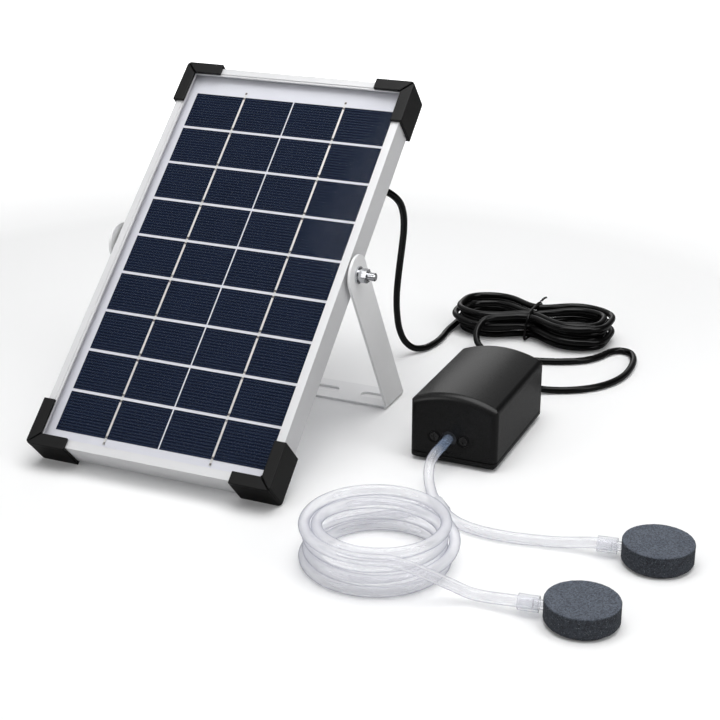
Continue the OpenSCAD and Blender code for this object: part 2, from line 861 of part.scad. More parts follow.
module pivot_spacers() {
    l = arm_x - frame_side - face_gap;
    color(black_plastic) on_pivots() difference() {
        x_cylinder(spacer_d, frame_side, l, 0, 0);
        x_cylinder(bolt_d, frame_side - over, l + 2 * over, 0, 0);
    }
}

module pivot_washers() {
    split = spring_washer_t / 2;
    color(zinc) on_pivot(1) {
        difference() {
            x_cylinder(washer_d, stack_x, washer_t, 0, 0);
            x_cylinder(bolt_d, stack_x - over, washer_t + 2 * over, 0, 0);
        }
        difference() {
            x_cylinder(nut_af, stack_x + washer_t, spring_washer_t, 0, 0);
            x_cylinder(bolt_d, stack_x, washer_t + spring_washer_t + over, 0, 0);
            box([stack_x + washer_t - over, -split / 2, 0], [nut_x + over, split / 2, nut_af]);
        }
    }
}

module pivot_nuts() {
    color(zinc) on_pivot(1) difference() {
        translate([nut_x, 0, 0]) rotate([0, 90, 0]) intersection() {
            hexagon(nut_af, nut_t);
            translate([0, 0, -over]) cylinder(d = nut_af * 1.1, h = nut_t + 2 * over);
        }
        x_cylinder(bolt_d, nut_x - over, nut_t + 2 * over, 0, 0);
    }
}

// Pump housing. Its frame: X from its middle, Y back from its front face, Z up

// A front view with a crowned top: a true arc that rolls into upright sides
module crowned(w, low, side, r_crown, r_edge) {
    centre_z = side + crown_rise - crown_r;
    reach = r_crown - r_edge;
    edge_x = w / 2 - r_edge;
    edge_z = centre_z + sqrt(reach * reach - edge_x * edge_x) + roll_proud;
    touch_x = edge_x * r_crown / reach;
    intersection() {
        translate([0, centre_z]) circle(r = r_crown, $fn = crown_sides);
        union() {
            translate([-touch_x, low]) square([2 * touch_x, 2 * side]);
            for (side_sign = [-1, 1]) translate([side_sign * edge_x, edge_z]) circle(r = r_edge);
            translate([-w / 2, low]) square([w, edge_z - low]);
        }
    }
}

// The same shell at any inset from its outside: three outlines that cut each other
module cover_form(inset, low) {
    w = pump_w - 2 * inset;
    l = pump_d - 2 * inset;
    r = edge_r - inset;
    crown = crown_r - inset;
    intersection() {
        translate([0, pump_d - inset, 0]) rotate([90, 0, 0]) linear_extrude(l)
            crowned(w, low, side_h, crown, r);
        translate([0, pump_d / 2, low]) rounded_plate(w, l, corner_r - inset / 2, pump_h);
        translate([0, inset, pump_h - crown_r]) rotate([-90, 0, 0]) rotate_extrude($fn = crown_sides) {
            square([crown + roll_proud - r, l]);
            translate([0, r]) square([crown + roll_proud, l - 2 * r]);
            for (y = [r, l - r]) translate([crown + roll_proud - r, y]) circle(r = r);
        }
    }
}

module at_bosses() {
    for (sx = [-1, 1])
        for (y = [boss_inset, pump_d - boss_inset])
        translate([sx * (pump_w / 2 - boss_inset), y, 0]) children();
}

// The moulded curve under the outlet, a shallow arc that dips in the middle
module outlet_curve() {
    r = curve_w;
    translate([outlet_x, curve_cut, outlet_z - curve_drop + r / 2]) rotate([90, 0, 0]) intersection() {
        difference() {
            cylinder(r = r, h = curve_cut + over);
            translate([0, 0, -over]) cylinder(r = r - curve_line, h = curve_cut + 3 * over);
        }
        box([-r, -r, -over], [r, -r / 3, curve_cut + 2 * over]);
    }
}

module recess_rings() {
    for (side = [-1, 1]) {
        x = outlet_x + side * head_screw_dx;
        y_cylinder(head_screw_d + 2 * recess_ring, x, -over, over + head_screw_sink, outlet_z);
        y_cylinder(head_screw_shank, x, -over, cover_wall + 2 * over, outlet_z);
        difference() {
            y_cylinder(screw_ring_d, x, -over, over + curve_cut, outlet_z);
            y_cylinder(screw_ring_d - 2 * curve_line, x, -2 * over, 3 * over + curve_cut, outlet_z);
        }
    }
}

module pump_cover() {
    color(black_plastic) on_pump() difference() {
        union() {
            difference() {
                cover_form(0, seam_z);
                cover_form(cover_wall, seam_z - over);
            }
            intersection() {
                at_bosses() translate([0, 0, base_top]) cylinder(d = boss_d, h = pump_h);
                cover_form(cover_wall / 2, base_top);
            }
        }
        at_bosses() cylinder(d = base_screw_d, h = base_screw_l + base_top);
        y_cylinder(outlet_hole_d, outlet_x, -over, cover_wall + 2 * over, outlet_z);
        y_cylinder(grommet_neck_d, 0, pump_d - cover_wall - over, cover_wall + 2 * over, grommet_z);
        recess_rings();
        outlet_curve();
    }
}

// The base: a bevelled tray with a rim under the cover, screw wells and an air inlet
module pump_base() {
    w = pump_w;
    rim_h = seam_z - foot_h;
    tray_inset = 2 * base_bevel + base_wall;
    color(black_plastic) on_pump() difference() {
        intersection() {
            translate([0, pump_d / 2, foot_h]) {
                rounded_plate(w, pump_d, corner_r, rim_h - seam_groove);
                rounded_plate(w - 2 * seam_groove, pump_d - 2 * seam_groove, corner_r - seam_groove, rim_h);
            }
            translate([0, pump_d, 0]) rotate([90, 0, 0]) linear_extrude(pump_d) polygon([
                [-w / 2 + base_bevel, foot_h], [w / 2 - base_bevel, foot_h],
                [w / 2, foot_h + base_bevel], [w / 2, seam_z], [-w / 2, seam_z], [-w / 2, foot_h + base_bevel]
            ]);
            translate([-w / 2, 0, 0]) rotate([90, 0, 90]) linear_extrude(w) polygon([
                [base_bevel, foot_h], [pump_d - base_bevel, foot_h], [pump_d, foot_h + base_bevel],
                [pump_d, seam_z], [0, seam_z], [0, foot_h + base_bevel]
            ]);
        }
        translate([0, pump_d / 2, base_top])
            rounded_plate(w - tray_inset, pump_d - tray_inset, corner_r / 2, seam_z);
        at_bosses() cylinder(d = base_screw_d, h = seam_z);
        at_bosses() translate([0, 0, base_top]) cylinder(d = boss_d + 2 * face_gap, h = seam_z);
        at_bosses() cylinder(d = base_screw_head_d, h = foot_h + base_screw_head_t);
        for (k = [1 : inlet_holes]) rotate_inlet(k) cylinder(d = inlet_hole_d, h = seam_z);
    }
}

module rotate_inlet(k) {
    a = 360 * k / inlet_holes;
    translate([inlet_ring_r * cos(a), inlet_y + inlet_ring_r * sin(a), 0]) children();
}

module pump_feet() {
    color([0.1, 0.1, 0.1]) on_pump()
        for (sx = [-1, 1])
        for (y = [foot_inset, pump_d - foot_inset])
        translate([sx * (pump_w / 2 - foot_inset), y, 0])
        cylinder(d1 = foot_d - foot_h, d2 = foot_d, h = foot_h);
}

module base_screws() {
    head_z = foot_h + base_screw_head_t;
    color(zinc) on_pump() at_bosses() {
        translate([0, 0, foot_h]) difference() {
            cylinder(d = base_screw_head_d - 2 * face_gap, h = base_screw_head_t);
            for (turn = [0, 90]) rotate([0, 0, turn])
                translate([-base_screw_head_d / 3, -base_screw_head_d / 12, -over])
                cube([2 * base_screw_head_d / 3, base_screw_head_d / 6, over + base_screw_head_t / 2]);
        }
        translate([0, 0, head_z]) cylinder(d = base_screw_d, h = base_screw_l);
    }
}

module cord_grommet() {
    color(black_plastic) on_pump() translate([0, pump_d, grommet_z]) rotate([-90, 0, 0]) {
        translate([0, 0, -cover_wall - grommet_flange_t]) cylinder(d = grommet_d, h = grommet_flange_t);
        translate([0, 0, -cover_wall]) cylinder(d = grommet_neck_d, h = cover_wall);
        difference() {
            cylinder(d1 = grommet_d, d2 = cable_d + gland_neck, h = grommet_l);
            for (k = [1 : 3]) translate([0, 0, k * grommet_l / 4]) difference() {
                cylinder(d = 2 * grommet_d, h = gland_neck);
                translate([0, 0, -over]) cylinder(d = cable_d, h = gland_neck + 2 * over);
            }
        }
    }
}

// Pump head, valves and diaphragm, stacked back from the front wall on the outlet's axis

module at_outlet() {
    translate([outlet_x, 0, outlet_z]) children();
}

module stack_block(y, t) {
    box([-head_w / 2, y, -head_h / 2], [head_w / 2, y + t, head_h / 2]);
}

module pump_head() {
    color([0.2, 0.2, 0.22]) on_pump() at_outlet() difference() {
        union() {
            stack_block(head_y, head_t);
            y_cylinder(nozzle_d, 0, -nozzle_l, nozzle_l + head_y, 0);
        }
        y_cylinder(nozzle_bore, 0, -nozzle_l - over, nozzle_l + head_y + head_t, 0);
        y_cylinder(outlet_chamber_d, 0, plate_y - outlet_chamber_t, outlet_chamber_t + over, 0);
        y_cylinder(port_d, 0, plate_y - outlet_chamber_t, outlet_chamber_t + over, -valve_drop);
        translate([0, plate_y - outlet_chamber_t + port_d / 2, -head_h / 2 - over])
            cylinder(d = port_d, h = over + head_h / 2 - valve_drop);
        for (side = [-1, 1])
            y_cylinder(head_screw_shank, side * head_screw_dx, head_y - over, head_screw_l + over, 0);
    }
}

module head_screws() {
    shank_l = head_y - head_screw_sink + head_screw_l;
    color([0.12, 0.12, 0.13]) on_pump() at_outlet()
        for (side = [-1, 1]) translate([side * head_screw_dx, 0, 0]) {
            difference() {
                y_cylinder(head_screw_d, 0, head_screw_sink - head_screw_t, head_screw_t, 0);
                for (turn = [0, 90]) rotate([0, turn, 0])
                    box(
                        [-head_screw_d / 3, -over, -head_screw_d / 12],
                        [head_screw_d / 3, head_screw_sink - head_screw_t / 2, head_screw_d / 12]
                    );
            }
            y_cylinder(head_screw_shank, 0, head_screw_sink, shank_l, 0);
        }
}

module valve_plate() {
    color([0.85, 0.85, 0.82]) on_pump() at_outlet() difference() {
        stack_block(plate_y, plate_t);
        for (z = [0, -valve_drop]) y_cylinder(port_d, 0, plate_y - over, plate_t + 2 * over, z);
    }
}

// The outlet flap lies in the head's chamber, the inlet flap behind the plate
module valve_flaps() {
    color([0.15, 0.15, 0.15]) on_pump() at_outlet() {
        y_cylinder(flap_d + flap_t, 0, plate_y - flap_t, flap_t, 0);
        y_cylinder(flap_d, 0, rim_y, flap_t, -valve_drop);
    }
}

// A moulded rubber disc: thick rim, sloping web and a thicker middle that the rod holds
module diaphragm() {
    rim_r = head_h / 2;
    free_r = chamber_d / 2;
    mid_r = clamp_d / 2 + web_t;
    hole_r = stem_d / 2 + face_gap;
    back = web_y + web_t - rim_y;
    color([0.12, 0.12, 0.12]) on_pump() at_outlet() translate([0, rim_y, 0]) rotate([-90, 0, 0])
        rotate_extrude() polygon([
            [hole_r, back - web_t], [mid_r, back - web_t], [free_r, rim_t / 2], [free_r, 0], [rim_r, 0],
            [rim_r, rim_t], [free_r, rim_t], [mid_r, back], [hole_r, back]
        ]);
}

// One moulding carries the diaphragm's ring and the motor's saddle
module pump_chassis() {
    back = motor_y + saddle_wall;
    low = base_top - outlet_z;
    saddle_x0 = can_x + saddle_inset - outlet_x;
    saddle_x1 = can_end - saddle_inset - outlet_x;
    color([0.25, 0.25, 0.27]) on_pump() at_outlet() difference() {
        union() {
            stack_block(ring_y, ring_t);
            box([-head_w / 2, ring_y, low], [head_w / 2, ring_y + ring_t, 0]);
            box([-head_w / 2, ring_y, low], [saddle_x1, back, low + chassis_floor]);
            box([saddle_x0, motor_y - saddle_wall, low], [saddle_x1, back, -motor_d / 6]);
        }
        y_cylinder(chamber_d + web_t, 0, ring_y - over, ring_t + 2 * over, 0);
        x_cylinder(motor_d + 2 * face_gap, 0, motor_l + 2 * can_x + over, motor_y, 0);
    }
}

// Motor, with its axis along X at the outlet's height

module ring_x(d_out, d_in, x, l) {
    difference() {
        x_cylinder(d_out, x, l, 0, 0);
        x_cylinder(d_in, x - over, l + 2 * over, 0, 0);
    }
}

module at_motor() {
    translate([0, motor_y, outlet_z]) children();
}

module motor_can() {
    color(zinc) on_pump() at_motor() difference() {
        x_cylinder(motor_d, can_x, motor_l, 0, 0);
        x_cylinder(motor_d - 2 * can_wall, can_x + can_wall, motor_l, 0, 0);
        x_cylinder(bush_d, can_x - over, can_wall + 2 * over, 0, 0);
    }
}

module motor_magnets() {
    out = motor_d - 2 * can_wall - 2 * magnet_gap;
    color([0.18, 0.18, 0.2]) on_pump() at_motor() difference() {
        ring_x(out, out - 2 * magnet_t, can_x + can_wall, motor_l - can_wall - plug_t - face_gap);
        box([can_x, -motor_d, -magnet_split / 2], [can_end, motor_d, magnet_split / 2]);
    }
}

module motor_bushes() {
    color([0.72, 0.55, 0.3]) on_pump() at_motor() {
        ring_x(bush_d, bush_bore, can_x - can_wall, bush_l);
        ring_x(bush_d, bush_bore, can_end - plug_t, bush_l);
    }
}

module motor_end_cap() {
    inner = motor_d - 2 * can_wall - 2 * face_gap;
    color([0.9, 0.9, 0.86]) on_pump() at_motor() difference() {
        union() {
            x_cylinder(inner, can_end - plug_t, plug_t, 0, 0);
            x_cylinder(motor_d, can_end, end_cap_t, 0, 0);
        }
        x_cylinder(bush_d, can_end - plug_t - over, plug_t + end_cap_t + 2 * over, 0, 0);
    }
}

module motor_brushes() {
    color([0.7, 0.45, 0.25]) on_pump() at_motor()
        for (side = [-1, 1]) scale_y(side)
        box(
            [commutator_x, commutator_d / 2 + face_gap, -brush_t / 2],
            [can_end - plug_t, commutator_d / 2 + face_gap + brush_w, brush_t / 2]
        );
}

module scale_y(side) {
    mirror([0, side < 0 ? 1 : 0, 0]) children();
}

module motor_shaft() {
    end = can_end - plug_t + bush_l;
    color(zinc) on_pump() at_motor() x_cylinder(shaft_d, crank_x - shaft_r, end - crank_x + shaft_r, 0, 0);
}

module armature_core() {
    color([0.6, 0.6, 0.62]) on_pump() at_motor() difference() {
        x_cylinder(armature_d, core_x, armature_l, 0, 0);
        x_cylinder(shaft_d, core_x - over, armature_l + 2 * over, 0, 0);
        for (k = [1 : poles]) rotate([360 * k / poles, 0, 0]) {
            x_cylinder(slot_hole_d, core_x - over, armature_l + 2 * over, slot_hole_r, 0);
            box(
                [core_x - over, slot_hole_r, -slot_mouth / 2],
                [core_x + armature_l + over, armature_d, slot_mouth / 2]
            );
        }
    }
}

module armature_windings() {
    x = core_x + (armature_l - winding_l) / 2;
    color([0.72, 0.35, 0.15]) on_pump() at_motor()
        for (k = [1 : poles]) rotate([360 * k / poles, 0, 0])
        x_cylinder(slot_hole_d, x, winding_l, slot_hole_r, 0);
}

module commutator() {
    color([0.8, 0.5, 0.3]) on_pump() at_motor() difference() {
        ring_x(commutator_d, shaft_d, commutator_x, commutator_l);
        for (k = [1 : poles]) rotate([360 * (k + 0.5) / poles, 0, 0])
            box(
                [commutator_x - over, shaft_d, -commutator_slit / 2],
                [commutator_x + commutator_l + over, commutator_d, commutator_slit / 2]
            );
    }
}

// The eccentric stands back from the shaft's axis at rest, so the diaphragm is drawn back
module crank() {
    color(zinc) on_pump() difference() {
        x_cylinder(crank_d, crank_x, crank_t, pin_y, outlet_z);
        x_cylinder(shaft_d, crank_x - over, crank_t + 2 * over, motor_y, outlet_z);
    }
}

module connecting_rod() {
    color([0.88, 0.88, 0.84]) on_pump() at_outlet() difference() {
        union() {
            x_cylinder(rod_ring_d, -rod_w / 2, rod_w, pin_y, 0);
            box([-rod_w / 2, rod_foot_y, -rod_w / 2], [rod_w / 2, pin_y, rod_w / 2]);
            y_cylinder(foot_disc_d, 0, rod_foot_y, foot_disc_t, 0);
            y_cylinder(stem_d + rod_w, 0, rod_foot_y, stem_l + rod_w / 2, 0);
        }
        x_cylinder(crank_d + 2 * run_clear, -rod_w, 2 * rod_w, pin_y, 0);
        y_cylinder(stem_d, 0, rod_foot_y - over, stem_l + over - web_t, 0);
    }
}

module diaphragm_clamp() {
    color(zinc) on_pump() at_outlet() {
        y_cylinder(clamp_d, 0, clamp_y, clamp_t, 0);
        y_cylinder(stem_d, 0, web_y, stem_l, 0);
    }
}

module circuit_board() {
    z = base_top + board_lift;
    top = z + board_t;
    end = board_y + board_l;
    color([0.1, 0.35, 0.18]) on_pump() {
        box([-board_w / 2, board_y, z], [board_w / 2, end, top]);
        for (sx = [-1, 1])
            for (y = [board_y + board_post_d, end - board_post_d])
            translate([sx * (board_w / 2 - board_post_d), y, base_top])
            cylinder(d = board_post_d, h = board_lift);
        translate([board_w / 4, board_y + board_l / 2, top]) cylinder(d = capacitor_d, h = capacitor_h);
        box([-connector_w / 2, end - connector_h, top], [connector_w / 2, end, top + connector_h]);
        translate([-board_w / 4 - chip_w / 2, board_y + chip_w, top]) cube([chip_w, chip_w, chip_h]);
    }
}

module air_filter() {
    color([0.75, 0.75, 0.7]) on_pump() translate([0, inlet_y, base_top]) cylinder(d = filter_d, h = filter_t);
}

// Air stones, nipples and sleeves

// Places children at a stone's middle with +X pointing out along its nipple
module at_stone(x, y) {
    translate([x, y, stone_h / 2]) rotate([0, 0, 180 + nipple_turn]) children();
}

module at_stones() {
    at_stone(near_x, near_y) children();
    at_stone(far_x, far_y) children();
}

module air_stone(x, y) {
    r = stone_d / 2;
    color(stone_grey) at_stone(x, y) difference() {
        translate([0, 0, -stone_h / 2]) rotate_extrude($fn = 96) polygon([
            [0, 0], [r - stone_bevel, 0], [r, stone_bevel], [r, stone_h - stone_edge],
            [r - stone_edge, stone_h], [0, stone_h]
        ]);
        x_cylinder(nipple_d, r - nipple_in, nipple_in + over, 0, 0);
    }
}

module stone_nipples() {
    x = stone_d / 2 - nipple_in;
    l = nipple_in + nipple_out;
    color(clear_plastic) at_stones() difference() {
        x_cylinder(nipple_d, x, l, 0, 0);
        x_cylinder(nipple_bore, x - over, l + 2 * over, 0, 0);
    }
}

module tube_sleeves() {
    color(clear_plastic) {
        at_stones() ring_x(sleeve_d, sleeve_bore, stone_d / 2 + sleeve_gap, sleeve_l);
        on_pump() at_outlet() rotate([0, 0, -90]) ring_x(tube_d, nozzle_d, face_gap, outlet_sleeve_l);
    }
}

// Tee, tubes and coil

function tee_point(along, across) =
    [tee_x, tee_y, tee_d / 2] + turned(tee_turn, [along, across, 0]);

module tube_tee() {
    color(clear_plastic) translate([tee_x, tee_y, tee_d / 2]) rotate([0, 0, tee_turn]) difference() {
        union() {
            x_cylinder(tee_d, -tee_half, 2 * tee_half, 0, 0);
            y_cylinder(tee_d, 0, -tee_branch, tee_branch, 0);
        }
        x_cylinder(tee_bore, -tee_half - over, 2 * (tee_half + over), 0, 0);
        y_cylinder(tee_bore, 0, -tee_branch - over, tee_branch + over, 0);
    }
}

module air_tube(path) {
    color(clear_plastic) tube(path, tube_d, tube_sides, [0, 0, 1]);
}

// A tube's last straight piece, from outside a stone's sleeve to the end of its nipple
function stone_lead(x, y) = [
    for (out = [sleeve_l + 2 * sleeve_gap, nipple_out + face_gap])
    [x, y, stone_h / 2] + turned(180 + nipple_turn, [stone_d / 2 + out, 0, 0])
];

module supply_tube() {
    start = [pump_x + outlet_x, pump_y - outlet_sleeve_l - 2 * face_gap, outlet_z];
    air_tube(concat(
        [start, start - [0, tube_d, 0]], SUPPLY,
        [tee_point(-tee_half - face_gap - tube_d, 0), tee_point(-tee_half - face_gap, 0)]
    ));
}

module far_tube() {
    air_tube(concat(
        [tee_point(tee_half + face_gap, 0), tee_point(tee_half + face_gap + tube_d, 0)], FAR_RUN,
        stone_lead(far_x, far_y)
    ));
}

// The link runs from the tee's branch to the coil's first straight piece
module coil_link() {
    end = coil_path()[0] - face_gap * coil_heading(0);
    air_tube(concat(
        [tee_point(0, -tee_branch - face_gap), tee_point(0, -tee_branch - face_gap - tube_d)], LINK,
        [end - tube_d * coil_heading(0), end]
    ));
}

module near_tube() {
    path = coil_path();
    start = path[len(path) - 1] + face_gap * coil_heading(coil_turns);
    air_tube(concat(
        [start, start + tube_d * coil_heading(coil_turns)], NEAR_RUN,
        stone_lead(near_x, near_y)
    ));
}

function coil_point(t) =
    let (r = coil_r - coil_step * inward(t, coil_layer_turns), a = coil_start + 360 * t)
    [
        coil_x + r * cos(a), coil_y + r * sin(a),
        tube_r + coil_step * climbed(t, coil_layer_turns, coil_layers)
    ];

function coil_heading(t) = [-sin(coil_start + 360 * t), cos(coil_start + 360 * t), 0];

function coil_path(per_turn = form_rings) =
    let (steps = round(coil_turns * per_turn))
    with_ends(
        [for (i = [0 : steps]) coil_point(coil_turns * i / steps)],
        tube_d, coil_heading(0), coil_heading(coil_turns)
    );

module tube_coil() {
    echo(coil_least_gap = least_gap(coil_path(2 * form_rings), tube_d, 2 * form_rings));
    color(clear_plastic) tube(coil_path(), tube_d, form_sides, [0, 0, 1]);
}

// Cable and hank

// A loop of the hank: a long oval with full lobes, drawn in at its waist
function hank_point(t) =
    let (
        depth = inward(t + hank_lead, hank_layer_turns),
        a = 180 - 360 * t,
        half_l = (hank_l - cable_d) / 2 - hank_end_step * depth,
        lobe = (hank_w - cable_d) / 2 - hank_side_step * depth,
        waist = (waist_w - cable_d) / 2 - hank_side_step * depth,
        x = half_l * cos(a),
        pinch = exp(-pow(x / (waist_share * hank_l / 2), 2)),
        y = sign(sin(a)) * pow(abs(sin(a)), lobe_share) * (lobe - (lobe - waist) * pinch)
    )
    [
        hank_x + x, hank_y + y,
        tie_t + cable_r + (cable_d + hank_gap) * climbed(t + hank_lead, hank_layer_turns, hank_layers)
    ];

function hank_heading(t) =
    let (step = 1 / (8 * form_rings), v = hank_point(t + step) - hank_point(t - step))
    unit([v[0], v[1], 0]);

function hank_path(per_turn = form_rings) =
    with_ends(
        [for (i = [0 : round(hank_turns * per_turn)]) hank_point(i / per_turn)],
        cable_d, [0, 1, 0], hank_heading(hank_turns)
    );

module cable_hank() {
    echo(hank_least_gap = least_gap(hank_path(2 * form_rings), cable_d, 2 * form_rings));
    color(black_plastic) tube(hank_path(), cable_d, form_sides, [0, 0, 1]);
}

module cable(path, side_axis) {
    color(black_plastic) tube(path, cable_d, cable_sides, side_axis);
}

module cable_drop() {
    end = hank_path()[0] - [0, face_gap, 0];
    cable(
        concat([gland_tip, gland_tip + [cable_d, 0, 0]], DROP, [end - [0, cable_d, 0], end]),
        [0.5, -0.7, -0.5]
    );
}

module cable_pump_run() {
    path = hank_path();
    start = path[len(path) - 1] + face_gap * hank_heading(hank_turns);
    end = [pump_x, pump_y + pump_d + grommet_l + face_gap, grommet_z];
    cable(
        concat(
            [start, start + cable_d * hank_heading(hank_turns)], PUMP_RUN,
            [end + [0, cable_d, 0], end]
        ),
        [0, 0, 1]
    );
}

module band(w, h, r) {
    translate([-w / 2 + r, -h / 2]) square([w - 2 * r, h]);
    translate([-w / 2, -h / 2 + r]) square([w, h - 2 * r]);
    for (sx = [-1, 1]) for (sy = [-1, 1]) translate([sx * (w / 2 - r), sy * (h / 2 - r)]) circle(r = r);
}

module cable_tie() {
    h = hank_layers * (cable_d + hank_gap) - hank_gap + 2 * tie_gap;
    w = waist_w + 2 * tie_gap + cable_r;
    color(black_plastic) translate([hank_x - tie_w / 2, hank_y, tie_t - tie_gap + h / 2]) {
        rotate([90, 0, 90]) linear_extrude(tie_w) difference() {
            band(w + 2 * tie_t, h + 2 * tie_t, cable_r + tie_t);
            band(w, h, cable_r);
        }
        translate([tie_w / 2, 0, h / 2 + tie_t / 2]) rotate([30, 20, 0]) cylinder(d = tail_d, h = tail_l);
    }
}

frame_rail(-90);  // frame_left
frame_rail(90);  // frame_right
frame_rail(180);  // frame_top
frame_rail(0);  // frame_bottom
corner_cap(-1, true);  // corner_cap_top_left
corner_cap(1, true);  // corner_cap_top_right
corner_cap(-1, false);  // corner_cap_bottom_left
corner_cap(1, false);  // corner_cap_bottom_right
panel_glass();
solar_cells();
cell_ribbons();
backsheet();
junction_box();
junction_lid();
lid_screws();
cable_gland();
pivot_bolts();
pivot_spacers();
pivot_washers();
pivot_nuts();
bracket();
pump_cover();
pump_base();
pump_feet();
base_screws();
cord_grommet();
pump_head();
head_screws();
valve_plate();
valve_flaps();
diaphragm();
pump_chassis();
motor_can();
motor_magnets();
motor_bushes();
motor_end_cap();
motor_brushes();
circuit_board();
air_filter();
supply_tube();
tube_tee();
far_tube();
coil_link();
tube_coil();
near_tube();
tube_sleeves();
stone_nipples();
air_stone(near_x, near_y);  // air_stone_near
air_stone(far_x, far_y);  // air_stone_far
cable_drop();
cable_hank();
cable_tie();
cable_pump_run();
motor_shaft();
armature_core();
armature_windings();
commutator();
crank();
connecting_rod();
diaphragm_clamp();
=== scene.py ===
import json
import math

import bmesh
import bpy
import numpy as np
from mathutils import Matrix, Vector
from mathutils import noise as mnoise


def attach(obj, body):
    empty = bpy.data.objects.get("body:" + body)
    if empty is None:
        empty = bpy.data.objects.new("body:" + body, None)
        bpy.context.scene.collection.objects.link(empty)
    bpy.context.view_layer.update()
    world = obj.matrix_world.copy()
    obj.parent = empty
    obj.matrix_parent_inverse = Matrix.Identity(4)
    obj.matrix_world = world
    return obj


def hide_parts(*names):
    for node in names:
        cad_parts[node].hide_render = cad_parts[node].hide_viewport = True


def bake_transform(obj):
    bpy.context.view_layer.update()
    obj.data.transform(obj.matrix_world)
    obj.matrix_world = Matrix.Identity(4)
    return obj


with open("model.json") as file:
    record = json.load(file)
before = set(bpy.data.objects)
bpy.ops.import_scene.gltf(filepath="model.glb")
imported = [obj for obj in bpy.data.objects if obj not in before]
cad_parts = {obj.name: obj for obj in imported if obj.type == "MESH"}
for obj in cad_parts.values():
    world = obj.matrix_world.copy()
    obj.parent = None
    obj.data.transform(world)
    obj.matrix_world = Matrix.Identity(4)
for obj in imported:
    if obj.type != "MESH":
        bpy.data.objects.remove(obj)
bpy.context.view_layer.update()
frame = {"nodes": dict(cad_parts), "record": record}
NODES = frame["nodes"]
MM = 0.001

# Sizes of the part in millimetres, as the CAD model has them
PANEL_H = 280.0
TILT = math.radians(41.6)
PANEL_Y = -162.93
MARGIN_LOW = 14.1
MARGIN_HIGH = 19.5
ROWS = 9
ROW_GAP = 1.9
CELL_H = (PANEL_H - MARGIN_LOW - MARGIN_HIGH - (ROWS - 1) * ROW_GAP) / ROWS
ROW_PITCH = CELL_H + ROW_GAP
FINGERS = 14
SOLDER_START = (1.2, 1.5)
SOLDER_END = (2.6, 3.0)
CABLE_D = 4.5
TUBE_D = 6.0
PUMP = (149.0, -76.0)
OUTLET = (-2.5, 17.2)
OUTLET_REACH = 7.1
OUTLET_MOUTH = (0.1465, -0.0831, 0.0172)
STONE_R = 19.0
STONE_H = 13.0
STONE_LOW_BEVEL = 2.4
STONE_HIGH_BEVEL = 0.8
NIPPLE_OUT = 5.05
SLEEVE_REACH = 14.5
TEE_END = 6.05
TEE_BRANCH = 8.05

CAP_EDGE = 0.5

# Angle past which an edge between two faces stays sharp
SHARP = math.radians(32)

# ---------------------------------------------------------------- camera
EYE = Vector((0.4280, -0.8504, 0.3973))
LOOK = Vector((-0.3714, 0.8505, -0.3725))
cam_data = bpy.data.cameras.new("camera")
cam_data.lens = 77.06
cam_data.sensor_width = 36.0
cam_data.clip_start = 0.01
cam = bpy.data.objects.new("camera", cam_data)
cam.location = EYE
cam.rotation_mode = "QUATERNION"
cam.rotation_quaternion = LOOK.to_track_quat("-Z", "Y")
bpy.context.scene.collection.objects.link(cam)
bpy.context.scene.camera = cam


# ---------------------------------------------------------------- materials
def clear(material):
    material.use_nodes = True
    tree = material.node_tree
    tree.nodes.clear()
    return tree


def node(tree, kind, **values):
    n = tree.nodes.new(kind)
    for key, value in values.items():
        if hasattr(n, key):
            setattr(n, key, value)
        else:
            n.inputs[key.replace("_", " ")].default_value = value
    return n


def link(tree, a, out, b, into):
    tree.links.new(a.outputs[out], b.inputs[into])


def noise_at(tree, coords, scale, detail=4.0, rough=0.55):
    n = node(tree, "ShaderNodeTexNoise", Scale=scale, Detail=detail, Roughness=rough)
    link(tree, coords, "Object", n, "Vector")
    return n


def ramp(tree, source, out, low, high, a, b):
    r = node(tree, "ShaderNodeMapRange")
    r.inputs["From Min"].default_value = low
    r.inputs["From Max"].default_value = high
    r.inputs["To Min"].default_value = a
    r.inputs["To Max"].default_value = b
    link(tree, source, out, r, "Value")
    return r


def mix_colour(tree, factor, out, a, b):
    m = node(tree, "ShaderNodeMix", data_type="RGBA")
    m.inputs[6].default_value = (*a, 1)
    m.inputs[7].default_value = (*b, 1)
    if factor is not None:
        link(tree, factor, out, m, "Factor")
    return m


def surface(name, colour_a, colour_b, rough_a, rough_b, bump=0.0, fine=900.0, broad=60.0,
            **values):
    """A surface whose colour drifts over broad patches and whose roughness and relief are fine."""
    m = bpy.data.materials.new(name)
    tree = clear(m)
    out = node(tree, "ShaderNodeOutputMaterial")
    b = node(tree, "ShaderNodeBsdfPrincipled")
    link(tree, b, "BSDF", out, "Surface")
    coords = node(tree, "ShaderNodeTexCoord")
    patches = noise_at(tree, coords, broad)
    grain = noise_at(tree, coords, fine, 3.0)
    colour = mix_colour(tree, patches, "Fac", colour_a, colour_b)
    link(tree, colour, 2, b, "Base Color")
    rough = ramp(tree, grain, "Fac", 0.3, 0.7, rough_a, rough_b)
    link(tree, rough, "Result", b, "Roughness")
    if bump:
        relief = node(tree, "ShaderNodeBump", Strength=bump, Distance=0.0002)
        link(tree, grain, "Fac", relief, "Height")
        link(tree, relief, "Normal", b, "Normal")
    for key, value in values.items():
        b.inputs[key.replace("_", " ")].default_value = value
    return m, tree, b, coords


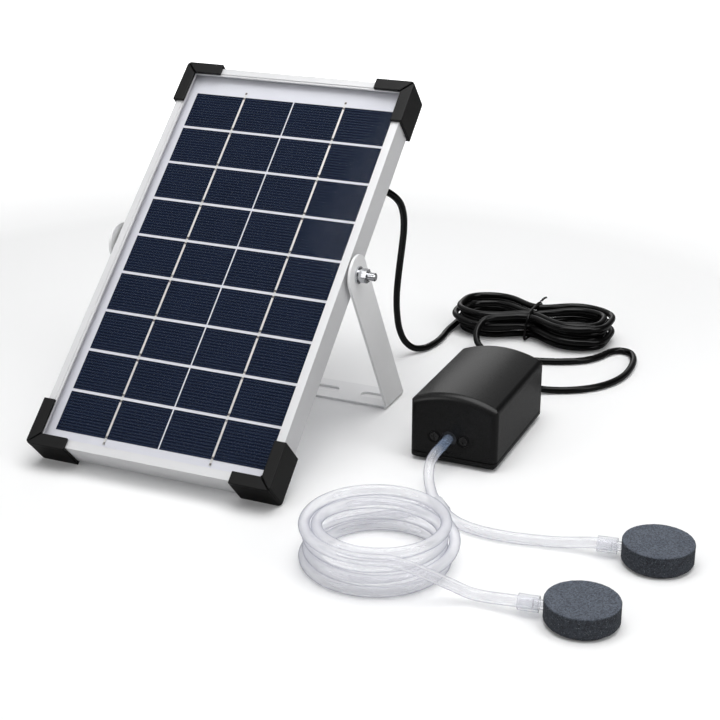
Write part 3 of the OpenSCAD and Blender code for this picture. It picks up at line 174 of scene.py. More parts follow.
M = {}
M["aluminium"] = surface("anodised aluminium", (0.67, 0.67, 0.68), (0.72, 0.72, 0.73), 0.38, 0.5,
                         0.05, 2500.0, 30.0, Metallic=0.25)[0]
M["bracket"] = surface("satin aluminium", (0.84, 0.84, 0.845), (0.90, 0.90, 0.905), 0.36, 0.50,
                       0.08, 2200.0, 40.0, Metallic=0.12)[0]
M["zinc"] = surface("zinc plate", (0.55, 0.56, 0.58), (0.68, 0.69, 0.71), 0.12, 0.24,
                    0.05, 1500.0, 200.0, Metallic=1.0)[0]
BLACK = {"Specular IOR Level": 0.3}
M["cap"] = surface("moulded cap", (0.0018, 0.0018, 0.0019), (0.0030, 0.0030, 0.0031), 0.36, 0.46,
                   0.15, 1800.0, 60.0, **{"Specular IOR Level": 0.24})[0]
M["box"] = surface("moulded box", (0.0045, 0.0045, 0.0047), (0.0075, 0.0075, 0.0078), 0.45, 0.6,
                   0.3, 1500.0, 60.0, **BLACK)[0]
M["pump"] = surface("pump housing", (0.0040, 0.0040, 0.0041), (0.0052, 0.0052, 0.0054), 0.26, 0.32,
                    0.02, 2600.0, 40.0, **BLACK)[0]
M["screw"] = surface("blackened steel", (0.007, 0.007, 0.007), (0.011, 0.011, 0.011), 0.16, 0.26,
                     0.1, 1500.0, 60.0, **{"Specular IOR Level": 0.55})[0]
M["rubber"] = surface("black rubber", (0.004, 0.004, 0.004), (0.007, 0.007, 0.007), 0.6, 0.75,
                      0.2, 1200.0, 80.0, **BLACK)[0]
M["cable"] = surface("cable jacket", (0.0016, 0.0016, 0.0016), (0.0026, 0.0026, 0.0026), 0.19, 0.20,
                     0.0, 60.0, 60.0, **{"Specular IOR Level": 0.25})[0]
M["inner"] = surface("inner plastic", (0.05, 0.055, 0.065), (0.07, 0.075, 0.085), 0.45, 0.6, 0.1)[0]
M["natural"] = surface("natural plastic", (0.72, 0.72, 0.68), (0.80, 0.80, 0.76), 0.4, 0.5, 0.1)[0]
M["magnet"] = surface("ferrite", (0.08, 0.08, 0.09), (0.12, 0.12, 0.13), 0.6, 0.75, 0.2)[0]
M["bronze"] = surface("bronze", (0.55, 0.36, 0.18), (0.65, 0.44, 0.22), 0.3, 0.45, 0.1,
                      Metallic=1.0)[0]
M["copper"] = surface("enamelled wire", (0.50, 0.20, 0.08), (0.62, 0.28, 0.11), 0.25, 0.4,
                      0.4, 2500.0, 60.0, Metallic=0.8)[0]
M["board"] = surface("circuit board", (0.02, 0.14, 0.06), (0.03, 0.2, 0.09), 0.3, 0.4, 0.1)[0]
M["felt"] = surface("felt", (0.5, 0.5, 0.46), (0.6, 0.6, 0.56), 0.9, 1.0, 0.8, 1500.0)[0]
M["backsheet"] = surface("backsheet", (0.66, 0.665, 0.72), (0.70, 0.705, 0.76), 0.45, 0.55, 0.05)[0]


def up_panel(tree, coords):
    """Millimetres up the panel's face, from object coordinates."""
    up = node(tree, "ShaderNodeVectorMath", operation="DOT_PRODUCT")
    link(tree, coords, "Object", up, 0)
    up.inputs[1].default_value = (0, math.cos(TILT) / MM, math.sin(TILT) / MM)
    shift = node(tree, "ShaderNodeMath", operation="ADD")
    link(tree, up, "Value", shift, 0)
    shift.inputs[1].default_value = -PANEL_Y * math.cos(TILT)
    return shift


def from_gap(tree, coords):
    """Millimetres up or down the panel to the middle of the nearest gap between rows of cells."""
    up = up_panel(tree, coords)
    low = node(tree, "ShaderNodeMath", operation="SUBTRACT")
    link(tree, up, "Value", low, 0)
    low.inputs[1].default_value = MARGIN_LOW - ROW_GAP / 2
    rows = node(tree, "ShaderNodeMath", operation="DIVIDE")
    link(tree, low, "Value", rows, 0)
    rows.inputs[1].default_value = ROW_PITCH
    whole = node(tree, "ShaderNodeMath", operation="ROUND")
    link(tree, rows, "Value", whole, 0)
    rest = node(tree, "ShaderNodeMath", operation="SUBTRACT")
    link(tree, rows, "Value", rest, 0)
    link(tree, whole, "Value", rest, 1)
    away = node(tree, "ShaderNodeMath", operation="ABSOLUTE")
    link(tree, rest, "Value", away, 0)
    mm = node(tree, "ShaderNodeMath", operation="MULTIPLY")
    link(tree, away, "Value", mm, 0)
    mm.inputs[1].default_value = ROW_PITCH
    return mm


def ribbon_material():
    """Tinned ribbon, bright on the cells and dull with solder where it steps between rows."""
    m, tree, b, coords = surface("tinned ribbon", (0.60, 0.59, 0.58), (0.78, 0.77, 0.76),
                                 0.30, 0.45, 0.2, 1200.0, 300.0, Metallic=0.2)
    gap = from_gap(tree, coords)
    start = ramp(tree, gap, "Value", *SOLDER_START, 0.0, 1.0)
    end = ramp(tree, gap, "Value", *SOLDER_END, 1.0, 0.0)
    mark = node(tree, "ShaderNodeMath", operation="MULTIPLY")
    link(tree, start, "Result", mark, 0)
    link(tree, end, "Result", mark, 1)
    blots = noise_at(tree, coords, 420.0, 1.0)
    some = ramp(tree, blots, "Fac", 0.36, 0.56, 0.55, 1.0)
    soldered = node(tree, "ShaderNodeMath", operation="MULTIPLY")
    link(tree, mark, "Value", soldered, 0)
    link(tree, some, "Result", soldered, 1)
    old = b.inputs["Base Color"].links[0].from_node
    colour = node(tree, "ShaderNodeMix", data_type="RGBA")
    link(tree, soldered, "Value", colour, "Factor")
    link(tree, old, 2, colour, 6)
    colour.inputs[7].default_value = (0.10, 0.085, 0.078, 1)
    link(tree, colour, 2, b, "Base Color")
    return m


M["ribbon"] = ribbon_material()


def cell_material():
    """Blue-black silicon with fine printed fingers across it and faint crystal patches."""
    m, tree, b, coords = surface("solar cell", (0.0042, 0.0072, 0.0158), (0.0058, 0.0096, 0.0210),
                                 0.30, 0.42, 0.0, 1200.0, 22.0)
    up = up_panel(tree, coords)
    pitch = node(tree, "ShaderNodeMath", operation="MULTIPLY")
    link(tree, up, "Value", pitch, 0)
    pitch.inputs[1].default_value = FINGERS / ROW_PITCH
    part = node(tree, "ShaderNodeMath", operation="FRACT")
    link(tree, pitch, "Value", part, 0)
    off = node(tree, "ShaderNodeMath", operation="SUBTRACT")
    link(tree, part, "Value", off, 0)
    off.inputs[1].default_value = 0.5
    away = node(tree, "ShaderNodeMath", operation="ABSOLUTE")
    link(tree, off, "Value", away, 0)
    finger = ramp(tree, away, "Value", 0.05, 0.35, 1.0, 0.0)
    crystals = node(tree, "ShaderNodeTexVoronoi", Scale=150.0)
    link(tree, coords, "Object", crystals, "Vector")
    tint = ramp(tree, crystals, "Color", 0.0, 1.0, 0.86, 1.14)
    old = b.inputs["Base Color"].links[0].from_node
    shade = node(tree, "ShaderNodeVectorMath", operation="SCALE")
    link(tree, old, 2, shade, 0)
    link(tree, tint, "Result", shade, "Scale")
    printed = node(tree, "ShaderNodeMix", data_type="RGBA")
    link(tree, finger, "Result", printed, "Factor")
    link(tree, shade, 0, printed, 6)
    printed.inputs[7].default_value = (0.0178, 0.0258, 0.0520, 1)
    link(tree, printed, 2, b, "Base Color")
    b.inputs["Specular IOR Level"].default_value = 0.02
    return m


M["cell"] = cell_material()


def glass_material():
    """Thin cover glass: clear, with a faint gloss."""
    m = bpy.data.materials.new("cover glass")
    tree = clear(m)
    out = node(tree, "ShaderNodeOutputMaterial")
    clear_part = node(tree, "ShaderNodeBsdfTransparent")
    gloss = node(tree, "ShaderNodeBsdfPrincipled", Metallic=1.0)
    gloss.inputs["Base Color"].default_value = (0.92, 0.95, 1.0, 1)
    coords = node(tree, "ShaderNodeTexCoord")
    grain = noise_at(tree, coords, 900.0, 2.0)
    rough = ramp(tree, grain, "Fac", 0.3, 0.7, 0.05, 0.10)
    link(tree, rough, "Result", gloss, "Roughness")
    both = node(tree, "ShaderNodeMixShader")
    both.inputs[0].default_value = 0.0025
    link(tree, clear_part, 0, both, 1)
    link(tree, gloss, 0, both, 2)
    link(tree, both, "Shader", out, "Surface")
    return m


M["glass"] = glass_material()


def tube_material(name, veil_low, veil_high, rough, bands):
    """Milky clear plastic: a thin veil seen straight on, denser and greyer towards its edges.

    Where it is drawn over the pump's outlet it takes the bluish tone of the nozzle inside it.
    """
    m = bpy.data.materials.new(name)
    tree = clear(m)
    out = node(tree, "ShaderNodeOutputMaterial")
    coords = node(tree, "ShaderNodeTexCoord")
    clear_part = node(tree, "ShaderNodeBsdfTransparent")
    clear_part.inputs["Color"].default_value = (0.985, 0.987, 0.995, 1)
    milk = node(tree, "ShaderNodeBsdfPrincipled")
    milk.inputs["Specular IOR Level"].default_value = 1.0
    cloud = noise_at(tree, coords, 90.0, 2.0)
    even = ramp(tree, cloud, "Fac", 0.3, 0.7, rough, rough + 0.08)
    link(tree, even, "Result", milk, "Roughness")
    face = node(tree, "ShaderNodeLayerWeight", Blend=0.5)
    tint = node(tree, "ShaderNodeValToRGB")
    while len(tint.color_ramp.elements) < len(bands):
        tint.color_ramp.elements.new(0.5)
    for element, (place, colour) in zip(tint.color_ramp.elements, bands):
        element.position = place
        element.color = (*colour, 1)
    link(tree, face, "Facing", tint, "Fac")
    faint = ramp(tree, cloud, "Fac", 0.3, 0.7, 0.97, 1.03)
    colour = node(tree, "ShaderNodeVectorMath", operation="SCALE")
    link(tree, tint, "Color", colour, 0)
    link(tree, faint, "Result", colour, "Scale")
    root = node(tree, "ShaderNodeVectorMath", operation="DISTANCE")
    link(tree, coords, "Object", root, 0)
    root.inputs[1].default_value = OUTLET_MOUTH
    near = ramp(tree, root, "Value", 0.007, 0.019, 1.0, 0.0)
    stem = node(tree, "ShaderNodeMix", data_type="RGBA")
    link(tree, near, "Result", stem, "Factor")
    link(tree, colour, "Vector", stem, 6)
    stem.inputs[7].default_value = (0.21, 0.27, 0.38, 1)
    link(tree, stem, 2, milk, "Base Color")
    veil = ramp(tree, face, "Facing", 0.25, 0.9, veil_low, veil_high)
    light = node(tree, "ShaderNodeLightPath")
    lit = ramp(tree, light, "Is Shadow Ray", 0.0, 1.0, 1.0, 0.45)
    share = node(tree, "ShaderNodeMath", operation="MULTIPLY")
    link(tree, veil, "Result", share, 0)
    link(tree, lit, "Result", share, 1)
    both = node(tree, "ShaderNodeMixShader")
    link(tree, share, 0, both, 0)
    link(tree, clear_part, 0, both, 1)
    link(tree, milk, 0, both, 2)
    link(tree, both, 0, out, "Surface")
    return m


# The tube's colour by how squarely it is seen: a painted highlight band part way out from the
# middle, and greyer edges.
M["tube"] = tube_material("clear tube", 0.32, 0.80, 0.08, [
    (0.0, (0.72, 0.72, 0.76)), (0.18, (0.78, 0.78, 0.81)), (0.28, (0.97, 0.97, 0.98)),
    (0.50, (0.80, 0.80, 0.84)), (0.90, (0.42, 0.43, 0.50)),
])
M["sleeve"] = tube_material("clear sleeve", 0.14, 0.75, 0.08, [
    (0.0, (0.86, 0.87, 0.90)), (0.5, (0.90, 0.91, 0.94)), (0.85, (0.48, 0.49, 0.54)),
])


def stone_material():
    """Sintered grit: blue-grey grains with pits and a few bright crystals, with painted light on
    the top face and painted shade down the sides.
    """
    m, tree, b, coords = surface("air stone", (0.050, 0.058, 0.074), (0.080, 0.090, 0.110),
                                 0.75, 0.95, 0.9, 1600.0, 90.0, **{"Specular IOR Level": 0.3})
    grains = node(tree, "ShaderNodeTexVoronoi", Scale=1500.0)
    link(tree, coords, "Object", grains, "Vector")
    parts = node(tree, "ShaderNodeSeparateXYZ")
    link(tree, coords, "Object", parts, "Vector")
    # Painted light and shade: the top face is lightened and the sides below it are darkened, by
    # height.
    painted_top_light_side_shade = ramp(tree, parts, "Z", (STONE_H - 0.8) * MM, (STONE_H - 0.2) * MM, 0.50, 1.32)
    specks = ramp(tree, grains, "Color", 0.0, 1.0, 0.50, 1.55)
    light = node(tree, "ShaderNodeMath", operation="MULTIPLY")
    link(tree, painted_top_light_side_shade, "Result", light, 0)
    link(tree, specks, "Result", light, 1)
    old = b.inputs["Base Color"].links[0].from_node
    shade = node(tree, "ShaderNodeVectorMath", operation="SCALE")
    link(tree, old, 2, shade, 0)
    link(tree, light, "Value", shade, "Scale")
    rare = noise_at(tree, coords, 1700.0, 1.0)
    bright = ramp(tree, rare, "Fac", 0.66, 0.74, 0.0, 0.38)
    grit = node(tree, "ShaderNodeMix", data_type="RGBA")
    link(tree, bright, "Result", grit, "Factor")
    link(tree, shade, 0, grit, 6)
    grit.inputs[7].default_value = (0.40, 0.42, 0.46, 1)
    link(tree, grit, 2, b, "Base Color")
    relief = [n for n in tree.nodes if n.type == "BUMP"][0]
    coarse = node(tree, "ShaderNodeMath", operation="ADD")
    link(tree, grains, "Distance", coarse, 0)
    fine = relief.inputs["Height"].links[0].from_node
    link(tree, fine, "Fac", coarse, 1)
    link(tree, coarse, "Value", relief, "Height")
    return m


M["stone"] = stone_material()

SLOT_MATERIAL = {
    "anodised_frame": "aluminium", "cap_plastic": "cap", "panel_glass": "glass",
    "solar_cell": "cell", "tinned_ribbon": "ribbon", "backsheet_film": "backsheet",
    "box_plastic": "box",
    "zinc_steel": "zinc", "bracket_aluminium": "bracket", "pump_plastic": "pump",
    "black_rubber": "rubber", "inner_plastic": "inner", "black_steel": "screw",
    "valve_plastic": "natural", "magnet_ferrite": "magnet", "bronze": "bronze", "board": "board",
    "filter_felt": "felt", "clear_tube": "sleeve", "air_stone": "stone", "cable_jacket": "cable",
    "tie_plastic": "cable", "core_steel": "zinc", "copper_wire": "copper",
}
for part in frame["record"]["subparts"]:
    o = NODES[part["node"]]
    o.data.materials.clear()
    o.data.materials.append(M[SLOT_MATERIAL[part["material_slot"]]])
    o.data.polygons.foreach_set("use_smooth", [True] * len(o.data.polygons))
    o.data.set_sharp_from_angle(angle=SHARP)


# ---------------------------------------------------------------- corner caps
def rounded_edges(node_name, width):
    """A copy of a moulded piece whose sharp edges are rounded off by the given width."""
    mesh = bmesh.new()
    mesh.from_mesh(NODES[node_name].data)
    bmesh.ops.remove_doubles(mesh, verts=mesh.verts, dist=0.000002)
    bmesh.ops.dissolve_limit(mesh, angle_limit=math.radians(0.8), verts=mesh.verts,
                             edges=mesh.edges, delimit={"NORMAL"})
    data = bpy.data.meshes.new(node_name + "_moulding")
    mesh.to_mesh(data)
    mesh.free()
    data.polygons.foreach_set("use_smooth", [True] * len(data.polygons))
    o = bpy.data.objects.new(node_name + "_moulding", data)
    bpy.context.scene.collection.objects.link(o)
    edge = o.modifiers.new("edge", "BEVEL")
    edge.width = width
    edge.segments = 3
    edge.limit_method = "ANGLE"
    edge.angle_limit = math.radians(40)
    edge.use_clamp_overlap = False
    even = o.modifiers.new("even", "WEIGHTED_NORMAL")
    even.weight = 100
    even.keep_sharp = False
    done = bpy.data.meshes.new_from_object(o.evaluated_get(bpy.context.evaluated_depsgraph_get()))
    o.modifiers.clear()
    o.data = done
    done.name = node_name + "_moulding"
    done.materials.clear()
    done.materials.append(M["cap"])
    return o


for part in frame["record"]["subparts"]:
    if part["material_slot"] == "cap_plastic":
        o = rounded_edges(part["node"], CAP_EDGE * MM)
        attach(o, "panel")
        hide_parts(part["node"])


# ---------------------------------------------------------------- cords
def smooth_path(points, step):
    """Points about one step apart on a curve through the given ones, in metres."""
    p = [np.array(q, float) * MM for q in points]
    p = [2 * p[0] - p[1]] + p + [2 * p[-1] - p[-2]]
    out = []
    for i in range(1, len(p) - 2):
        a, b, c, d = p[i - 1:i + 3]
        n = max(2, int(round(np.linalg.norm(c - b) / (step * MM))))
        ta = np.linalg.norm(b - a) ** 0.5
        tb = ta + np.linalg.norm(c - b) ** 0.5
        tc = tb + np.linalg.norm(d - c) ** 0.5
        for k in range(n):
            t = ta + (tb - ta) * k / n
            a1 = (ta - t) / ta * a + t / ta * b
            a2 = (tb - t) / (tb - ta) * b + (t - ta) / (tb - ta) * c
            a3 = (tc - t) / (tc - tb) * c + (t - tb) / (tc - tb) * d
            b1 = (tb - t) / tb * a1 + t / tb * a2
            b2 = (tc - t) / (tc - ta) * a2 + (t - ta) / (tc - ta) * a3
            out.append((tb - t) / (tb - ta) * b1 + (t - ta) / (tb - ta) * b2)
    out.append(p[-2])
    return out


def round_bar(name, path, radius, sides, material):
    """A closed round bar along a path."""
    n = len(path)
    normal = None
    rings = []
    for i, p in enumerate(path):
        h = path[min(i + 1, n - 1)] - path[max(i - 1, 0)]
        h = h / np.linalg.norm(h)
        if normal is None:
            other = np.array([0, 0, 1.0]) if abs(h[2]) < 0.9 else np.array([1.0, 0, 0])
            normal = np.cross(h, other)
        normal = normal - (normal @ h) * h
        normal = normal / np.linalg.norm(normal)
        side = np.cross(h, normal)
        turn = [math.tau * k / sides for k in range(sides)]
        rings.append([p + radius * (math.cos(a) * normal + math.sin(a) * side) for a in turn])
    verts = [v for r in rings for v in r]
    faces = []
    for i in range(n - 1):
        for k in range(sides):
            a, b = i * sides + k, i * sides + (k + 1) % sides
            faces.append((a, b, b + sides, a + sides))
    faces.append(tuple(reversed(range(sides))))
    faces.append(tuple((n - 1) * sides + k for k in range(sides)))
    mesh = bpy.data.meshes.new(name)
    mesh.from_pydata([tuple(v) for v in verts], [], faces)
    mesh.polygons.foreach_set("use_smooth", [True] * len(mesh.polygons))
    mesh.set_sharp_from_angle(angle=math.radians(50))
    mesh.materials.append(material)
    o = bpy.data.objects.new(name, mesh)
    bpy.context.scene.collection.objects.link(o)
    return o


def inward(t, span):
    """How far in a loop lies, in turns: in over one span and out over the next."""
    k = math.floor(t / span)
    f = t - k * span
    return f if k % 2 == 0 else span - f


def ease(u):
    return 0.0 if u <= 0 else 1.0 if u >= 1 else u * u * (3 - 2 * u)


def climbed(t, span, layers):
    """How many layers up a loop is."""
    return sum(ease(2 * (t - k * span) + 0.5) for k in range(1, layers))


# The hank, in millimetres: its outline, its middle, its layers with their turns, and how far
# each turn further in stands back, over what share of the half length the waist is pinched,
# and how square its ends are
HANK = dict(length=120.0, width=66.0, waist=30.0, x=126.0, y=152.0, layers=4, span=1.5,
            lead=0.25, gap=0.5, tie=0.5, back=1.44, pinch=0.34, square=0.62)
HANK["turns"] = HANK["layers"] * HANK["span"] - HANK["lead"] + 1 / 24


def hank_point(t):
    """The cable's middle after t turns of the hank."""
    h = HANK
    depth = inward(t + h["lead"], h["span"])
    a = math.pi - math.tau * t
    half_l = (h["length"] - CABLE_D) / 2 - (CABLE_D + 2 * h["gap"]) * depth
    side = h["back"] * CABLE_D * depth
    lobe = (h["width"] - CABLE_D) / 2 - side
    waist = (h["waist"] - CABLE_D) / 2 - side
    x = half_l * math.cos(a)
    pinch = math.exp(-(x / (h["pinch"] * h["length"] / 2)) ** 2)
    s = math.sin(a)
    y = math.copysign(abs(s) ** h["square"], s) * (lobe - (lobe - waist) * pinch)
    up = climbed(t + h["lead"], h["span"], h["layers"])
    z = h["tie"] + CABLE_D / 2 + (CABLE_D + h["gap"]) * up
    return np.array([h["x"] + x, h["y"] + y, z])


# The coil, in millimetres: its radius, its middle, its layers with their turns, where it starts
# in degrees, and the step from one turn to the next
COIL = dict(r=40.0, x=153.0, y=-197.0, layers=4, span=1.354, start=135.0, step=6.5)
COIL["turns"] = COIL["layers"] * COIL["span"]


def coil_point(t):
    """The tube's middle after t turns of the coil."""
    c = COIL
    r = c["r"] - c["step"] * inward(t, c["span"])
    a = math.radians(c["start"] + 360 * t)
    z = TUBE_D / 2 + c["step"] * climbed(t, c["span"], c["layers"])
    return np.array([c["x"] + r * math.cos(a), c["y"] + r * math.sin(a), z])


def coil_heading(t):
    a = math.radians(COIL["start"] + 360 * t)
    return np.array([-math.sin(a), math.cos(a), 0.0])


# The cable's route, in millimetres
GLAND_TIP = [61.05, -2.45, 143.08]
DROP = [
    [70.6, 0.4, 140.6], [75, 6, 136.6], [77.8, 13.5, 129.6], [77.6, 20.5, 120],
    [75.4, 27, 108], [71.8, 33.5, 95], [67.6, 40.5, 81], [63.2, 48, 66],
    [59.3, 55.5, 50.5], [56.9, 62.5, 36], [56.2, 69, 22], [58, 75.5, 11],
    [62, 82, 4.6], [66.6, 90, 2.6], [69.6, 101, 2.4], [70.4, 114, 2.5], [69.4, 129, 2.7],
]
PUMP_RUN = [
    [99.8, 123.2, 17.3], [97.6, 116.8, 14.6], [98, 109.8, 10.6], [101.4, 103.6, 6.7],
    [107.5, 99.3, 4], [116, 97.2, 2.6], [128, 96.6, 2.3], [140, 97.8, 2.3], [152, 100.6, 2.3],
    [163, 104.8, 2.3], [173, 110.6, 2.3], [180, 117.8, 2.3], [184.6, 126.4, 2.3],
    [187.8, 135, 2.3], [193.4, 140.4, 2.3], [200.4, 139.4, 2.3], [205.2, 131.6, 2.3],
    [207.6, 121, 2.3], [208.4, 109, 2.3], [207.6, 96, 2.3], [203.6, 82.5, 2.3],
    [196, 70, 2.3], [185.5, 60.6, 2.3], [174, 54.6, 2.3], [164, 49.8, 3.4],
    [156, 43.8, 7.2], [151, 37, 11.6],
]
GROMMET_TIP = [149.0, 26.05, 14.0]


def cable_points():
    per_turn = 72
    steps = int(round(HANK["turns"] * per_turn))
    hank = [hank_point(i / per_turn) for i in range(steps + 1)]
    gland = np.array(GLAND_TIP)
    grommet = np.array(GROMMET_TIP)
    before = [gland, gland + [CABLE_D, 0, 0], *[np.array(p, float) for p in DROP]]
    first = hank[0] - [0, CABLE_D, 0]
    before += [first - [0, CABLE_D, 0], first]
    tip = hank_point(HANK["turns"] + 0.005) - hank_point(HANK["turns"] - 0.005)
    tip[2] = 0
    tip /= np.linalg.norm(tip)
    after = [hank[-1] + CABLE_D * tip, hank[-1] + 2 * CABLE_D * tip]
    after += [np.array(p, float) for p in PUMP_RUN] + [grommet + [0, CABLE_D, 0], grommet]
    return before + hank + after


def tie_ring():
    """The wire tie round the hank's waist: a loop, flat under the cable, with a twisted tail."""
    half_w, half_h = 16.55, 9.85
    wire_r, strand_r, sides, strand_sides, steps = 1.0, 0.52, 12, 8, 24
    middle = np.array([HANK["x"], HANK["y"], 0.4 + half_h])
    around = 96
    mesh = bmesh.new()
    rings = []
    for i in range(around):
        a = math.tau * i / around
        c, d = math.cos(a), math.sin(a)
        flat = np.array([0, math.copysign(abs(c) ** 0.42, c) * half_w,
                         math.copysign(abs(d) ** 0.62, d) * half_h])
        out = np.array([0, c / half_w, d / half_h])
        out /= np.linalg.norm(out)
        thick = 0.2 + 0.77 * min(1, max(0, (d + 0.97) / 0.25))
        lean = 1.2 * d + 0.35 * math.sin(3 * a)
        centre = middle + flat + out * thick + np.array([lean, 0, 0])
        ring = []
        for k in range(sides):
            e = math.tau * k / sides
            q = centre + np.array([wire_r * math.cos(e), 0, 0]) + out * thick * math.sin(e)
            ring.append(mesh.verts.new(tuple(q * MM)))
        rings.append(ring)
    for i in range(around):
        a, b = rings[i], rings[(i + 1) % around]
        for k in range(sides):
            n = (k + 1) % sides
            mesh.faces.new((a[k], a[n], b[n], b[k]))
    root = middle + np.array([1.6, half_w - 3.0, half_h + 1.2])
    for turn in (0, math.pi):
        strand = []
        for i in range(steps + 1):
            t = i / steps
            along = root + np.array([3.4 * t, 1.2 * t, 5.4 * t - 2.4 * t * t])
            e = turn + 9 * t
            twist = 0.5 * np.array([math.cos(e), math.sin(e), 0.2 * math.sin(e)])
            strand.append((along + twist) * MM)
        last = None
        for i, q in enumerate(strand):
            h = strand[min(i + 1, steps)] - strand[max(i - 1, 0)]
            h /= np.linalg.norm(h)
            side = np.cross(h, [0, 1.0, 0])
            side /= np.linalg.norm(side)
            up = np.cross(h, side)
            ring = []
            for k in range(strand_sides):
                e = math.tau * k / strand_sides
                around_wire = strand_r * MM * (math.cos(e) * side + math.sin(e) * up)
                ring.append(mesh.verts.new(tuple(q + around_wire)))
            if last:
                for k in range(strand_sides):
                    n = (k + 1) % strand_sides
                    mesh.faces.new((last[k], last[n], ring[n], ring[k]))
            if i in (0, steps):
                mesh.faces.new(ring if i else ring[::-1])
            last = ring
    bmesh.ops.recalc_face_normals(mesh, faces=mesh.faces)
    data = bpy.data.meshes.new("wire_tie")
    mesh.to_mesh(data)
    mesh.free()
    data.polygons.foreach_set("use_smooth", [True] * len(data.polygons))
    data.materials.append(M["cable"])
    o = bpy.data.objects.new("wire_tie", data)
    bpy.context.scene.collection.objects.link(o)
    return o


tie = tie_ring()
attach(tie, "stand")
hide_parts("cable_tie")


cable_path = smooth_path(cable_points(), 2.2)
cable = round_bar("cable", cable_path, CABLE_D / 2 * MM, 20, M["cable"])
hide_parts("cable_drop", "cable_hank", "cable_pump_run")
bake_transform(cable)


def turned(angle, v):
    """A vector turned about the upright by an angle in degrees."""
    a = math.radians(angle)
    c, s = math.cos(a), math.sin(a)
    return np.array([v[0] * c - v[1] * s, v[0] * s + v[1] * c, v[2]])


TEE = np.array([163.6, -133.0, 3.5])
TEE_TURN = -49.0


def tee_point(along, across):
    """A point in the tee's own frame, along its run and across it towards its branch."""
    return TEE + turned(TEE_TURN, [along, across, 0])


STONES = {
    "air_stone_near": np.array([267.5, -214.0, STONE_H / 2]),
    "air_stone_far": np.array([287.3, -141.1, STONE_H / 2]),
}
NIPPLE_TURN = 7.0


def stone_lead(centre):
    """The last straight piece of a tube, from outside a stone's sleeve to the end of its nipple."""
    return [centre + turned(180 + NIPPLE_TURN, [STONE_R + out, 0, 0])
            for out in (SLEEVE_REACH, NIPPLE_OUT)]


# The tubes' routes, in millimetres
SUPPLY = [[145.7, -95.4, 16.2], [145.2, -102, 12.9], [147, -109, 8.2], [150.8, -116.2, 4.8]]
FAR_RUN = [
    [179.2, -146.8, 3.1], [189, -150, 3], [200, -151.2, 3], [212, -150.6, 3],
    [224, -148.6, 3.1], [237, -146.9, 3.9],
]
NEAR_RUN = [[182.5, -230, 20.2], [192.5, -225.9, 15.4], [202.5, -221.4, 9.9], [213, -218.3, 5.4]]
LINK = [[144.5, -150.3, 3.1]]


def tube_piece(name, points, nodes):
    path = smooth_path(points, 2.0)
    o = round_bar(name, path, TUBE_D / 2 * MM, 24, M["tube"])
    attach(o, "stand")
    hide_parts(*nodes)


outlet_end = np.array([PUMP[0] + OUTLET[0], PUMP[1] - OUTLET_REACH, OUTLET[1]])
tube_piece("supply_hose", [outlet_end, outlet_end - [0, TUBE_D, 0], *SUPPLY,
                           tee_point(-TEE_END - TUBE_D, 0), tee_point(-TEE_END, 0)],
           ["supply_tube"])
tube_piece("far_hose", [tee_point(TEE_END, 0), tee_point(TEE_END + TUBE_D, 0), *FAR_RUN,
                        *stone_lead(STONES["air_stone_far"])], ["far_tube"])


def coil_points():
    per_turn = 60
    steps = int(round(COIL["turns"] * per_turn))
    coil = [coil_point(COIL["turns"] * i / steps) for i in range(steps + 1)]
    first, last = coil_heading(0), coil_heading(COIL["turns"])
    before = [tee_point(0, -TEE_BRANCH), tee_point(0, -TEE_BRANCH - TUBE_D),
              *[np.array(p, float) for p in LINK],
              coil[0] - 2 * TUBE_D * first, coil[0] - TUBE_D * first]
    after = [coil[-1] + TUBE_D * last, coil[-1] + 2 * TUBE_D * last,
             *[np.array(p, float) for p in NEAR_RUN], *stone_lead(STONES["air_stone_near"])]
    return before + coil + after


tube_piece("coil_hose", coil_points(), ["coil_link", "tube_coil", "near_tube"])


# ---------------------------------------------------------------- air stones
def grit_profile(radius, height):
    """Half a section of a moulded disc, from the middle of its base to the middle of its top."""
    low, high = STONE_LOW_BEVEL, STONE_HIGH_BEVEL
    rows = [(radius * i / 16, 0.0) for i in range(1, 15)]
    rows += [(radius - low, 0.0), (radius - 0.72 * low, 0.22 * low)]
    rows += [(radius - 0.30 * low, 0.55 * low)]
    rows += [(radius, low + (height - low - high) * i / 14) for i in range(15)]
    rows += [(radius - 0.3 * high, height - 0.3 * high), (radius - high, height)]
    rows += [((radius - high) * (1 - i / 24), height) for i in range(1, 24)]
    return rows


